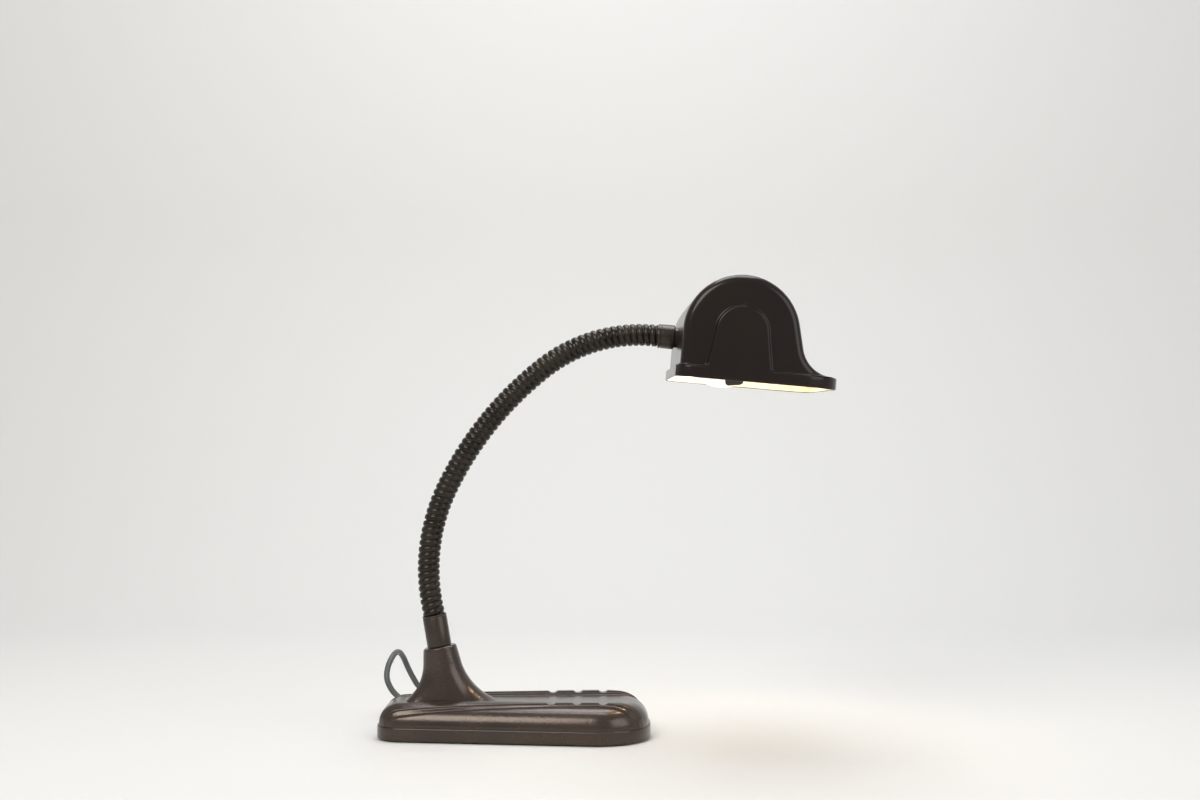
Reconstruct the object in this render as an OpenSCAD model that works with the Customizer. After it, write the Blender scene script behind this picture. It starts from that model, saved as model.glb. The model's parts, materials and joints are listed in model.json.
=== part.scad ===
// Gooseneck desk lamp: cast-iron base, flexible metal neck, pressed-steel hood with a keyed bulb holder.
// Origin: centre of the base's footprint, on the table. +Z is up, +X points to the hood, +Y is the far side.
// The neck is a chain of links about which it bends. Each link is drawn straight, as long as its turns.

/* [Base] */
// Length of the base
base_length = 197; // [170:1:240]
// Width across the front corners
base_front_width = 90; // [84:1:110]
// Width across the rear corners
base_rear_width = 58; // [56:1:70]
// Plan radius of the front corners
front_corner_radius = 38; // [30:1:40]
// Plan radius of the rear corners
rear_corner_radius = 20; // [19:1:24]
// Height of the upright band round the foot of the casting
band_height = 9.4; // [8:0.2:14]
// Width of the small ledge on top of the band
band_step = 1.2; // [0.8:0.1:2]
// Radius of the domed shoulder above the band
shoulder_radius = 15; // [12:0.5:16]
// Wall of the casting
casting_wall = 6; // [4:0.5:7]
// Height of the lower step of the two ribs above the dome
rib_low_step = 1.3; // [0.8:0.1:2]
// Height of the upper step of the two ribs above the lower step
rib_high_step = 1.3; // [0.8:0.1:2]
// Width of the lower step of a rib
rib_low_width = 9.5; // [7:0.5:12]
// Width of the upper step of a rib
rib_high_width = 5; // [3:0.5:6.5]
// Gap between the ribs beside the stem
rib_gap = 35; // [30:1:38]
// Angle that each rib makes with the lamp's middle
rib_angle = 2.4; // [0:0.2:4]
// Notches in the front part of each rib
rib_notches = 3; // [0:1:4]
// Spacing of the notches
notch_spacing = 18.5; // [12:0.5:22]
// Radius of the scoop that makes a notch
notch_radius = 5; // [3:0.5:6]
// Thickness of the steel bottom plate
bottom_plate = 1.2; // [0.8:0.1:2]
// Thickness of the felt pad
felt_thickness = 2; // [1.5:0.1:4]
// How far the felt stands below the casting
felt_proud = 0.8; // [0.4:0.1:1.2]
// Clearance between the bottom plate and the casting
plate_clearance = 0.5; // [0.3:0.1:1]
// Radius of the bosses that take the plate's screws
boss_radius = 5; // [4:0.5:7]
// Radius of the plate screws' shanks
plate_screw_radius = 2; // [1.5:0.1:2.5]

/* [Stem] */
// Distance from the middle of the base back to the stem's top
stem_back = 54.5; // [40:0.5:60]
// Height of the stem's top
stem_height = 65; // [55:1:80]
// Angle by which the stem leans back
stem_lean = 9.5; // [0:0.5:12]
// Radius of the stem's top
stem_radius = 12; // [10.5:0.5:14]
// Length of the stem's upper part, which widens only a little
stem_taper_length = 12; // [8:1:16]
// How much the radius grows over that part
stem_taper_growth = 2; // [1:0.5:3]
// Radius of the hollow curve down to the base
stem_flare_radius = 35.4; // [30:0.2:40]
// How much of the flare shows sideways, as a share
stem_side_share = 0.3; // [0.2:0.05:0.45]
// Radius of the hollow inside the stem
stem_hollow_radius = 8.5; // [8:0.5:9]
// Thickness of the web at the stem's top
stem_web = 8; // [6:1:12]

/* [Neck] */
// Outer diameter of the flexible neck
neck_diameter = 16; // [15:0.2:18]
// Distance from one turn to the next
turn_pitch = 4.6; // [4.4:0.1:5.2]
// Radius of a turn's rounded crest
turn_radius = 1.45; // [1.2:0.05:1.5]
// Turns in each of the two ends
end_turns = 3; // [2:1:4]
// Turns in each link between the ends
link_turns = 4; // [3:1:5]
// Angle at which the neck leaves the lower ferrule, back from upright
neck_lean = 12; // [8:0.5:14]
// Straight length at the bottom of the neck
neck_straight = 5; // [0:1:20]
// Length of the lower bend
lower_bend_length = 90; // [60:1:120]
// Angle of the lower bend
lower_bend = 38; // [20:1:44]
// Length of the middle bend
middle_bend_length = 112; // [90:1:130]
// Angle of the middle bend
middle_bend = 26; // [15:1:36]
// Straight length at the top of the neck, before the middle of its last turns
neck_top_straight = 4.7; // [2:0.1:12]
// Length of the lower ferrule
ferrule_length = 23; // [18:1:30]
// Wall of the ferrule and of the upper collar
ferrule_wall = 0.8; // [0.6:0.1:1.5]
// Outer radius of the threaded tubes
nipple_radius = 5; // [4.5:0.1:5.5]
// Bore radius of the threaded tubes
nipple_bore = 3.3; // [3:0.1:3.5]
// Length of the upper collar in front of the hood
collar_length = 13.8; // [12:0.2:18]

/* [Hood] */
// Pitch of the hood, nose down
hood_pitch = 5; // [0:0.5:10]
// Width of the hood from end to end, over its skirt
hood_width = 186; // [180:1:220]
// Length of the hood from the rear of its skirt to the tip of the visor
hood_length = 111.5; // [108:0.5:130]
// Radius of the arched top
arch_radius = 39.8; // [38:0.2:44]
// Height of the arch's centre above the rim
arch_height = 32.5; // [32:0.5:44]
// Height of the neck's axis above the rim
neck_entry_height = 30; // [28:0.5:34]
// Tilt of the front wall
front_wall_tilt = 13.3; // [8:0.1:16]
// Height of the skirt
skirt_height = 8.3; // [6:0.1:10]
// How far the skirt stands out
skirt_step = 2.8; // [2:0.1:4]
// Radius of the hollow curve from the front wall to the visor
visor_curve_radius = 22; // [18:0.5:24]
// Plan radius of the visor's corners
visor_corner_radius = 26; // [20:1:32]
// Plan radius of the rear corners
hood_corner_radius = 12; // [8:1:14]
// Rounding of the hood's ends
hood_end_radius = 6; // [4:0.5:8]
// Thickness of the steel sheet
sheet = 1; // [0.8:0.1:1.5]
// Radius of the arched panel on each end
panel_radius = 18; // [14:0.5:22]
// Height of the panel's arch centre above the rim
panel_height = 33; // [30:0.5:36]
// Half width of the panel at the skirt
panel_foot = 21.5; // [19:0.5:26]

/* [Bulb and holder] */
// Diameter of the bulb
bulb_diameter = 60; // [55:1:60]
// Length of the bulb
bulb_length = 108; // [104:1:112]
// Distance of the bulb's axis in front of the neck's end
bulb_forward = 40.5; // [39:0.5:44]
// Distance of the bulb's axis below the neck's axis
bulb_drop = 3; // [0:0.5:6]
// Distance of the bulb's end contact from the middle of the hood
bulb_offset = 56; // [54:0.5:58]
// Radius of the bulb's screw cap
cap_radius = 13.1; // [13:0.05:13.3]
// Clearance between the cap and the screw shell
cap_clearance = 0.08; // [0.05:0.01:0.1]
// Radius of the holder's brass shell
holder_radius = 16.6; // [16.2:0.1:18]
// Length of the holder's brass shell
holder_length = 42; // [38:1:46]
// Width of the bracket strap
bracket_width = 12; // [11.5:0.5:16]
// Thickness of the bracket strap
bracket_thickness = 1.5; // [1:0.1:1.6]

/* [Key switch] */
// Radius of the key's shaft
key_shaft_radius = 2.4; // [2:0.1:3]
// Clearance of the shaft in the holder's core
key_clearance = 0.05; // [0.03:0.01:0.1]
// Width of the key's paddle
key_width = 12.5; // [9:0.5:14]
// Distance from the bulb's axis to the tip of the paddle
key_reach = 29.8; // [28:0.2:34]
// Radius of the paddle's corners
key_corner = 2.5; // [1:0.1:4]
// Thickness of the paddle
key_thickness = 3.2; // [2.5:0.1:4.4]
// Turn of the holder about the bulb's axis
key_tilt = -9; // [-12:1:12]

/* [Cord] */
// Diameter of the mains cord
cord_diameter = 4.5; // [4:0.1:5]
// Diameter of the lead inside the neck
lead_diameter = 4; // [3:0.1:4.2]
// Distance of the cord's outlet along the far side of the base
outlet_along = 6; // [4:1:20]
// Length of the tapered strain relief
relief_length = 22; // [20:1:40]
// Mean radius of the coil
coil_radius = 27; // [24:1:27]
// Turns side by side, and layers, in the coil
coil_rows = 3; // [3:1:3]
// Length of the plug's body
plug_length = 26; // [22:1:30]
// Width of the plug's body
plug_width = 22; // [20:1:26]
// Height of the plug's body
plug_height = 14.5; // [12:0.5:16]
// Length of the plug's blades
blade_length = 17; // [15:0.5:18]

/* [Hidden] */

$fn = 48;
fit = 0.05;             // radial gap between a shaft and the bore that holds it
gap = 0.3;              // gap between neighbours that don't touch
past = 1;               // how far a cutter runs past what it cuts
iron = [0.20, 0.13, 0.09];
steel = [0.16, 0.11, 0.08];
brass = [0.72, 0.56, 0.28];
rubber = [0.10, 0.12, 0.12];

// ---- base ----
half_length = base_length / 2;
band_top = felt_proud + band_height;
shoulder_z = band_top + felt_proud;
base_top = shoulder_z + shoulder_radius;
rim_depth = band_step + shoulder_radius;
front_centre = [half_length - front_corner_radius, base_front_width / 2 - front_corner_radius];
rear_centre = [rear_corner_radius - half_length, base_rear_width / 2 - rear_corner_radius];
centres_apart = norm(front_centre - rear_centre);
side_normal = atan2(front_centre.y - rear_centre.y, front_centre.x - rear_centre.x)
  + acos((rear_corner_radius - front_corner_radius) / centres_apart);
plate_z = felt_thickness;
boss_z = plate_z + bottom_plate;
boss_places = [[front_centre.x, front_centre.y + front_corner_radius / 2],
  [rear_centre.x + rear_corner_radius / 4, rear_centre.y]];
screw_head_radius = 2 * plate_screw_radius;
screw_head_height = felt_thickness - felt_proud;
screw_length = 9;
notch_inset = 18;
notch_x = half_length - rim_depth - notch_inset;

function along(angle) = [cos(angle), sin(angle)];
function along_angle(v) = atan2(v.y, v.x);

// The casting's plan outline as points, drawn in by a margin. Points along the sides are even round the stem.
corner_steps = 9;
side_steps = 12;
function side_point(margin, f) = let (foot = [stem_foot_x, 0], normal = along(side_normal),
    front = front_centre + (front_corner_radius - margin) * normal,
    rear = rear_centre + (rear_corner_radius - margin) * normal,
    angle = along_angle(front - foot) * (1 - f) + along_angle(rear - foot) * f)
  foot + along(angle) * ((front - foot) * normal) / (along(angle) * normal);
function half_outline(margin) = concat(
  [for (i = [0:corner_steps]) front_centre + (front_corner_radius - margin)
    * along(side_normal * i / corner_steps)],
  [for (i = [1:side_steps - 1]) side_point(margin, i / side_steps)],
  [for (i = [0:corner_steps]) rear_centre + (rear_corner_radius - margin)
    * along(side_normal + (180 - side_normal) * i / corner_steps)]);
function outline(margin) = let (half = half_outline(margin))
  concat(half, [for (i = [len(half) - 1:-1:0]) [half[i].x, -half[i].y]]);
function level(points, z) = [for (p = points) [p.x, p.y, z]];
// Rings of the domed shoulder, outside (wall 0) or inside the casting.
function shoulder_rings(wall) = [for (t = [0:15:90])
  level(outline(band_step + wall + (shoulder_radius - wall) * (1 - cos(t))),
    shoulder_z + (shoulder_radius - wall) * sin(t))];

// The plan of the casting, drawn in by a margin.
module base_plan(margin) {
  for (side = [0, 1]) mirror([0, side]) {
    translate(front_centre) circle(front_corner_radius - margin);
    translate(rear_centre) circle(rear_corner_radius - margin);
  }
  half = [front_centre + (front_corner_radius - margin) * along(0),
    front_centre + (front_corner_radius - margin) * along(side_normal),
    rear_centre + (rear_corner_radius - margin) * along(side_normal),
    rear_centre + (rear_corner_radius - margin) * along(180)];
  polygon(concat(half, [for (i = [3:-1:0]) [half[i].x, -half[i].y]]));
}

// A rib runs over the top and down both ends. Its side view, at a distance y from the lamp's middle.
rib_y = (rib_gap + rib_low_width) / 2;
function other_leg(hypotenuse, leg) = sqrt(pow(hypotenuse, 2) - pow(leg, 2));
function rib_front(y) = front_centre.x + other_leg(front_corner_radius, y - front_centre.y) - band_step;
function rib_rear(y) = rear_centre.x - other_leg(rear_corner_radius, y - rear_centre.y) + band_step;
module rib_side_view(raise) {
  radius = shoulder_radius + raise;
  spread = rib_y + (half_length + stem_back) * tan(rib_angle);
  front = rib_front(min(spread, front_centre.y + front_corner_radius / 2));
  rear = rib_rear(min(rib_y, rear_centre.y + rear_corner_radius / 2));
  polygon(concat([for (t = [0:15:90]) [front - radius * (1 - cos(t)), shoulder_z + radius * sin(t)]],
    [for (t = [90:-15:0]) [rear + radius * (1 - cos(t)), shoulder_z + radius * sin(t)]]));
}

module rib_strip(width, raise) rotate([90, 0, 0]) linear_extrude(width, center = true)
  rib_side_view(raise);

module ribs() for (side = [0, 1]) mirror([0, side, 0])
  translate([0, rib_y + stem_back * tan(rib_angle), 0]) rotate([0, 0, rib_angle]) {
    rib_strip(rib_low_width, rib_low_step);
    difference() {
      rib_strip(rib_high_width, rib_low_step + rib_high_step);
      for (i = [0:1:rib_notches - 1])
        translate([notch_x - i * notch_spacing, 0, base_top + rib_low_step + notch_radius])
          rotate([90, 0, 0]) cylinder(r = notch_radius, h = 2 * rib_low_width, center = true);
    }
  }

// ---- stem ----
stem_top = [-stem_back, 0, stem_height];
flare_start_angle = atan(stem_taper_growth / stem_taper_length);
flare_centre_radius = stem_radius + stem_taper_growth + stem_flare_radius * cos(flare_start_angle);
flare_centre_depth = stem_taper_length - stem_flare_radius * sin(flare_start_angle);
stem_rings = 14;
stem_lip = 1.2;
oval_limit = 0.96;
stem_foot_depth = stem_height - base_top;
stem_foot_x = stem_top.x + stem_foot_depth * tan(stem_lean);

// Half width of the stem at a depth below its top.
function stem_half(depth) = depth <= stem_taper_length
  ? stem_radius + stem_taper_growth * depth / stem_taper_length
  : flare_centre_radius - sqrt(max(0, pow(stem_flare_radius, 2) - pow(depth - flare_centre_depth, 2)));
// How far a ring reaches in one direction: an oval that stays inside the dome's flat top.
function oval_reach(half, side, to) = min(oval_limit * norm(to), half * side
  / sqrt(pow(side * to.x / norm(to), 2) + pow(half * to.y / norm(to), 2)));
function stem_ring(depth, half, tilt) = let (side = stem_radius
    + (half - stem_radius) * (half > stem_radius ? stem_side_share : 1))
  [for (p = outline(rim_depth)) let (to = p - [stem_foot_x, 0], reach = oval_reach(half, side, to) * unit(to))
    [stem_top.x + depth * tan(stem_lean) + reach.x * cos(tilt), reach.y,
      stem_top.z - depth + reach.x * sin(tilt)]];
function ring_tilt(depth) = stem_lean * max(0, 1 - depth / stem_taper_length);
function unit(v) = v / norm(v);
function tube_faces(rings, sides) = concat([[for (j = [sides - 1:-1:0]) j]],
  [for (i = [0:rings - 2], j = [0:sides - 1])
    [i * sides + j, i * sides + (j + 1) % sides, (i + 1) * sides + (j + 1) % sides, (i + 1) * sides + j]],
  [[for (j = [0:sides - 1]) (rings - 1) * sides + j]]);
module rings_solid(rings) polyhedron([for (r = rings) for (p = r) p],
  [for (f = tube_faces(len(rings), len(rings[0]))) [for (i = [len(f) - 1:-1:0]) f[i]]], convexity = 10);

// The outside of the casting in one: band, ledge, domed shoulder, flat top, hollow flare and stem.
module casting_form() rings_solid(concat(
  [level(outline(0), felt_proud), level(outline(0), band_top), level(outline(band_step), band_top)],
  shoulder_rings(0),
  [for (i = [stem_rings:-1:1]) let (d = stem_lip + (stem_foot_depth - stem_lip) * i / stem_rings)
    stem_ring(d, stem_half(d), ring_tilt(d))],
  [stem_ring(stem_lip, stem_radius, stem_lean), stem_ring(0, stem_radius - stem_lip, stem_lean)]));
module casting_hollow() rings_solid(concat([level(outline(band_step + casting_wall), -past)],
  shoulder_rings(casting_wall)));

module on_stem() translate(stem_top) rotate([0, -stem_lean, 0]) children();
module on_outlet() translate([rear_centre.x, rear_centre.y, outlet_z]) rotate([0, 0, side_normal])
  translate([rear_corner_radius, -outlet_along, 0]) rotate([0, 90, 0]) children();
outlet_z = felt_proud + band_height / 2;
outlet_point = [for (v = rear_centre + rear_corner_radius * along(side_normal)
  + outlet_along * along(side_normal - 90)) v];
outlet_bore = cord_diameter / 2 + fit;
relief_wall = 1.2;
relief_neck = outlet_bore + relief_wall;
relief_flange = relief_neck + 0.9;
flange_thickness = 1.4;
relief_depth = casting_wall + band_step;

module base_casting() color(iron) difference() {
  union() {
    difference() {
      union() {
        casting_form();
        ribs();
      }
      casting_hollow();
    }
    for (side = [0, 1], p = boss_places) mirror([0, side, 0]) translate([p.x, p.y, boss_z])
      cylinder(r = boss_radius, h = base_top - casting_wall / 2 - boss_z);
  }
  on_stem() translate([0, 0, -stem_height]) cylinder(r = stem_hollow_radius, h = stem_height - stem_web);
  on_stem() translate([0, 0, -stem_web - past]) cylinder(r = nipple_radius + fit, h = stem_web + 2 * past);
  for (side = [0, 1], p = boss_places) mirror([0, side, 0]) translate([p.x, p.y, boss_z - past])
    cylinder(r = plate_screw_radius + fit, h = screw_length + 2 * past);
  on_outlet() translate([0, 0, -2 * relief_depth]) cylinder(r = relief_neck + fit, h = 3 * relief_depth);
}

plate_margin = band_step + casting_wall + plate_clearance;

module screw_holes(radius) for (side = [0, 1], p = boss_places) mirror([0, side, 0])
  translate([p.x, p.y, -past]) cylinder(r = radius, h = boss_z + 2 * past);

module bottom_plate() color("silver") difference() {
  translate([0, 0, plate_z]) linear_extrude(bottom_plate) base_plan(plate_margin);
  screw_holes(plate_screw_radius + fit);
}

module felt_pad() color([0.12, 0.16, 0.12]) difference() {
  linear_extrude(felt_thickness) base_plan(plate_margin);
  screw_holes(screw_head_radius + gap);
}

module plate_screws() color("silver") for (side = [0, 1], p = boss_places) mirror([0, side, 0])
  translate([p.x, p.y, plate_z]) {
    translate([0, 0, -screw_head_height]) cylinder(r = screw_head_radius, h = screw_head_height);
    cylinder(r = plate_screw_radius, h = screw_length);
  }

washer_thickness = 1;
locknut_height = 4;
locknut_reach = 2.6;
nipple_in_ferrule = 10;
nipple_spare = 1;
nipple_below_web = washer_thickness + locknut_height + nipple_spare;

module tube(radius, bore, height) difference() {
  cylinder(r = radius, h = height);
  translate([0, 0, -past]) cylinder(r = bore, h = height + 2 * past);
}

module hex_nut(radius, bore, height) difference() {
  cylinder(r = radius, h = height, $fn = 6);
  translate([0, 0, -past]) cylinder(r = bore, h = height + 2 * past);
}

module stem_nipple() color(brass) on_stem() translate([0, 0, -stem_web - nipple_below_web])
  tube(nipple_radius, nipple_bore, stem_web + nipple_below_web + nipple_in_ferrule);
module stem_washer() color("silver") on_stem() translate([0, 0, -stem_web - washer_thickness])
  tube(stem_hollow_radius - gap, nipple_radius + fit, washer_thickness);
module stem_locknut() color(brass) on_stem() translate([0, 0, -stem_web - washer_thickness - locknut_height])
  hex_nut(nipple_radius + locknut_reach, nipple_radius + fit, locknut_height);

// ---- neck ----
tail_radius = neck_diameter / 2 - 0.1;
tail_seat = 1;
tail_length = ferrule_length - nipple_in_ferrule - tail_seat;
ferrule_radius = tail_radius + fit + ferrule_wall;
link_count = 15;
link_length = link_turns * turn_pitch;
end_length = end_turns * turn_pitch;
crest_radius = neck_diameter / 2 - turn_radius;
core_radius = crest_radius - 0.2;
covered_turns = 2;       // turns of the last link that are inside the upper collar
core_end = 0.8;          // each core tube ends this far from the hinge
core_wall = 1.4;
socket_radius = core_radius - core_wall;
ball_radius = socket_radius - gap;
lead_room = 0.6;
ball_bore = lead_diameter / 2 + lead_room;
stalk_wall = 1;
stalk_radius = ball_bore + stalk_wall;
web_low = 3.6;           // the web that carries a ball lies between these two depths below the hinge
web_high = 2;

function along3(heading) = [cos(heading), 0, sin(heading)];
total_bend = 90 + neck_lean + hood_pitch;
upper_bend = total_bend - lower_bend - middle_bend;
middle_start = neck_straight + lower_bend_length;
upper_start = middle_start + middle_bend_length;
upper_bend_length = link_middle(link_count + 1) - neck_top_straight - upper_start;
function share(s, from, length) = min(1, max(0, (s - from) / length));
// Angle through which the neck has turned at a distance along it.
function turned(s) = lower_bend * share(s, neck_straight, lower_bend_length)
  + middle_bend * share(s, middle_start, middle_bend_length)
  + upper_bend * share(s, upper_start, upper_bend_length);
// Middle of link k along the neck. Link 0 and the last are the ends.
function link_middle(k) = k == 0 ? end_length / 2
  : k > link_count ? end_length + link_count * link_length + end_length / 2
  : end_length + (k - 0.5) * link_length;
function link_heading(k) = 90 + neck_lean - turned(link_middle(k));
function length_of(k) = k == 0 || k > link_count ? end_length : link_length;
// Start of link k, where its hinge is.
function link_start(k) = k == 0 ? stem_top + ferrule_length * along3(90 + stem_lean)
  : link_start(k - 1) + length_of(k - 1) * along3(link_heading(k - 1));
neck_end = link_start(link_count + 1) + end_length * along3(-hood_pitch);

module on_link(k) translate(link_start(k)) rotate([0, 90 - link_heading(k), 0]) children();

module ridges(turns) for (i = [0:turns - 1])
  translate([crest_radius, (i + 0.5) * turn_pitch]) circle(turn_radius);

// The upper end of a link: a web, a stalk and a hollow ball on which the next link turns.
module ball_end(length) {
  translate([ball_bore, length - web_low]) square([core_radius - ball_bore, web_low - web_high]);
  translate([ball_bore, length - web_high]) square([stalk_radius - ball_bore, web_high]);
  translate([0, length]) intersection() {
    circle(ball_radius);
    translate([ball_bore, -ball_radius]) square([ball_radius, 2 * ball_radius]);
  }
}

module neck_link(k) color(steel) on_link(k) rotate_extrude() {
  length = length_of(k);
  last = k > link_count;
  bottom = k == 0 ? 0 : core_end;
  top = last ? length - (collar_length - collar_neck) : length - core_end;
  translate([socket_radius, bottom]) square([core_radius - socket_radius, top - bottom]);
  ridges(last ? end_turns - covered_turns : round(length / turn_pitch));
  if (!last) ball_end(length);
  if (k == 0) translate([socket_radius + core_wall / 3, -turn_pitch / 2])
    square([core_wall / 3, turn_pitch / 2 + core_end]);
  if (last) translate([socket_radius, top]) square([tail_radius - socket_radius, length - top]);
}

// The tail of the hose, held in the lower ferrule, in line with the stem.
module hose_tail() color(steel) on_stem() translate([0, 0, ferrule_length - tail_length])
  tube(tail_radius, socket_radius, tail_length - gap);

module lower_ferrule() color(iron) on_stem() difference() {
  cylinder(r = ferrule_radius, h = ferrule_length);
  translate([0, 0, -past]) cylinder(r = nipple_radius + fit, h = ferrule_length);
  translate([0, 0, ferrule_length - tail_length - fit]) cylinder(r = tail_radius + fit, h = ferrule_length);
}

module neck_hose_00() { neck_link(0); hose_tail(); }

// ---- hood, in its own frame: x forward along the neck's end, z up from the neck's axis ----
module in_hood() translate(neck_end) rotate([0, hood_pitch, 0]) children();
collar_neck = 5.6;
wall_x = collar_neck;
rim_z = -neck_entry_height;
arch_x = wall_x + arch_radius;
arch_z = rim_z + arch_height;
end_face = hood_width / 2 - skirt_step;
skirt_top = rim_z + skirt_height;
rear_x = wall_x - skirt_step;
tip_x = rear_x + hood_length;
front_touch = [arch_x, arch_z] + arch_radius * along(front_wall_tilt);
// Front wall's x at a height.
function front_x(z) = front_touch.x + (front_touch.y - z) * tan(front_wall_tilt);
curve_reach = visor_curve_radius * tan(45 - front_wall_tilt / 2);
curve_centre = [front_x(skirt_top) + curve_reach, skirt_top + visor_curve_radius];

// The arched cross-section as a ring at one y, drawn in by a margin all round but at the bottom.
function arch_ring(margin, bottom, y) = concat([[wall_x + margin, y, bottom]],
  [for (i = [0:arch_steps]) let (a = 180 + (front_wall_tilt - 180) * i / arch_steps)
    [arch_x + (arch_radius - margin) * cos(a), y, arch_z + (arch_radius - margin) * sin(a)]],
  [[front_x(bottom) - margin / cos(front_wall_tilt), y, bottom]]);
arch_steps = 22;
// The arched body, with rounded ends.
function arch_end(margin, bottom, side, t) = let (round = hood_end_radius - margin)
  arch_ring(margin + round * (1 - sin(t)), bottom, side * (end_face - margin - round * (1 - cos(t))));
module arch_body(margin, bottom) rings_solid(concat([for (t = [0:22.5:90]) arch_end(margin, bottom, -1, t)],
  [for (t = [90:-22.5:0]) arch_end(margin, bottom, 1, t)]));

module hood_plan(margin) {
  rear = hood_corner_radius;
  front = visor_corner_radius;
  half = hood_width / 2;
  for (side = [-1, 1]) {
    translate([rear_x + rear, side * (half - rear)]) circle(rear - margin);
    translate([tip_x - front, side * (half - front)]) circle(front - margin);
  }
  polygon([[rear_x + rear, half - margin], [tip_x - front, half - margin], [tip_x - margin, half - front],
    [tip_x - margin, front - half], [tip_x - front, margin - half], [rear_x + rear, margin - half],
    [rear_x + margin, rear - half], [rear_x + margin, half - rear]]);
}

// The hollow sweep from the front wall to the visor.
module visor_curve(margin) rotate([90, 0, 0])
  linear_extrude(2 * (end_face - margin) - hood_end_radius, center = true) difference() {
    polygon([[arch_x, skirt_top - margin - past], [curve_centre.x, skirt_top - margin - past],
      [curve_centre.x, skirt_top - margin],
      curve_centre, curve_centre - (visor_curve_radius + margin) * along(front_wall_tilt),
      [arch_x, skirt_top + visor_curve_radius / 2]]);
    translate(curve_centre) circle(visor_curve_radius + margin);
  }

module end_panels(margin) rotate([90, 0, 0]) linear_extrude(2 * (hood_width / 2 - margin), center = true) {
  translate([arch_x, rim_z + panel_height]) circle(panel_radius - margin);
  polygon([[arch_x - panel_radius + margin, rim_z + panel_height],
    [arch_x - panel_foot + margin, skirt_top - margin - past],
    [arch_x + panel_foot - margin, skirt_top - margin - past],
    [arch_x + panel_radius - margin, rim_z + panel_height]]);
}

module hood_form(margin, bottom) {
  arch_body(margin, bottom);
  translate([0, 0, bottom]) linear_extrude(skirt_top - margin - bottom) hood_plan(margin);
  visor_curve(margin);
  end_panels(margin);
}

module hood() color(steel) in_hood() difference() {
  hood_form(0, rim_z);
  hood_form(sheet, rim_z - past);
  rotate([0, 90, 0]) cylinder(r = nipple_radius + fit, h = arch_radius);
}

collar_radius = tail_radius + fit + ferrule_wall;
collar_small_radius = nipple_radius + 2.4;
collar_floor = 2;
nut_height = 2.6;
thread_end = 0.5;
hood_washer_reach = 3;
bracket_x = wall_x + sheet + gap;
hood_washer_x = bracket_x + bracket_thickness;
hood_nut_x = hood_washer_x + washer_thickness;
hood_nipple_end = hood_nut_x + nut_height + thread_end;

module upper_collar() color(iron) in_hood() rotate([0, 90, 0]) difference() {
  union() {
    translate([0, 0, collar_neck - collar_length])
      cylinder(r = collar_radius, h = collar_length - collar_floor);
    translate([0, 0, collar_neck - collar_floor]) cylinder(r = collar_small_radius, h = collar_floor);
  }
  translate([0, 0, -collar_length]) cylinder(r = tail_radius + fit, h = collar_length + fit);
  cylinder(r = nipple_radius + fit, h = collar_length);
}

module hood_nipple() color(brass) in_hood() rotate([0, 90, 0]) translate([0, 0, thread_end])
  tube(nipple_radius, nipple_bore, hood_nipple_end - thread_end);
module hood_washer() color("silver") in_hood() rotate([0, 90, 0]) translate([0, 0, hood_washer_x])
  tube(nipple_radius + hood_washer_reach, nipple_radius + fit, washer_thickness);
module hood_locknut() color(brass) in_hood() rotate([0, 90, 0]) translate([0, 0, hood_nut_x])
  hex_nut(nipple_radius + locknut_reach, nipple_radius + fit, nut_height);

// ---- bulb holder, in the hood's frame with z along the bulb's axis, towards the far end ----
module on_bulb() in_hood() translate([bulb_forward, 0, -bulb_drop]) rotate([-90, 0, 0]) children();
contact_z = -bulb_offset;
shell_wall = 0.6;
liner_wall = 1.2;
shell_low = contact_z - 16;
cap_low = shell_low - 6;
cap_high = shell_low + 3;
cap_floor = 1.2;
liner_low = shell_low + 4;
liner_high = shell_low + holder_length - 1;
core_low = shell_low - 2;
core_high = contact_z - 1;
key_z = contact_z - 8;
liner_radius = holder_radius - shell_wall - fit;
holder_core_radius = liner_radius - liner_wall;
screw_inner = cap_radius + cap_clearance;
screw_wall = 0.4;
contact_radius = 3.5;
terminal_radius = 3;
terminal_height = 2;
terminal_apart = 1.3 * holder_core_radius;
bracket_y = cap_low - bracket_thickness;
bracket_reach = 2;

module socket_cap() color(brass) on_bulb() difference() {
  translate([0, 0, cap_low]) cylinder(r = holder_radius + gap + shell_wall, h = cap_high - cap_low);
  translate([0, 0, cap_low + cap_floor]) cylinder(r = holder_radius + gap, h = cap_high - cap_low);
  translate([0, 0, cap_low - past]) cylinder(r = nipple_radius + fit, h = cap_floor + 2 * past);
}

module key_hole(radius) translate([0, 0, key_z]) rotate([0, 0, key_tilt]) rotate([-90, 0, 0])
  cylinder(r = radius, h = 2 * holder_radius);

module socket_shell() color(brass) on_bulb() difference() {
  translate([0, 0, shell_low]) tube(holder_radius, holder_radius - shell_wall, holder_length);
  key_hole(key_shaft_radius + gap);
}

module socket_liner() color("tan") on_bulb() difference() {
  translate([0, 0, liner_low]) tube(liner_radius, liner_radius - liner_wall, liner_high - liner_low);
  key_hole(key_shaft_radius + gap);
}

module socket_core() color([0.1, 0.07, 0.05]) on_bulb() difference() {
  translate([0, 0, core_low]) cylinder(r = holder_core_radius - fit, h = core_high - core_low);
  key_hole(key_shaft_radius + key_clearance);
}

module terminal_screws() color(brass) on_bulb() for (side = [-1, 1])
  translate([side * terminal_apart / 2, 0, core_low - terminal_height])
    cylinder(r = terminal_radius, h = terminal_height);

module centre_contact() color(brass) on_bulb() translate([0, 0, core_high])
  cylinder(r = contact_radius, h = contact_z - core_high - gap);

module screw_shell() color(brass) on_bulb() translate([0, 0, core_high])
  tube(screw_inner + screw_wall, screw_inner, liner_high - core_high);

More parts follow.
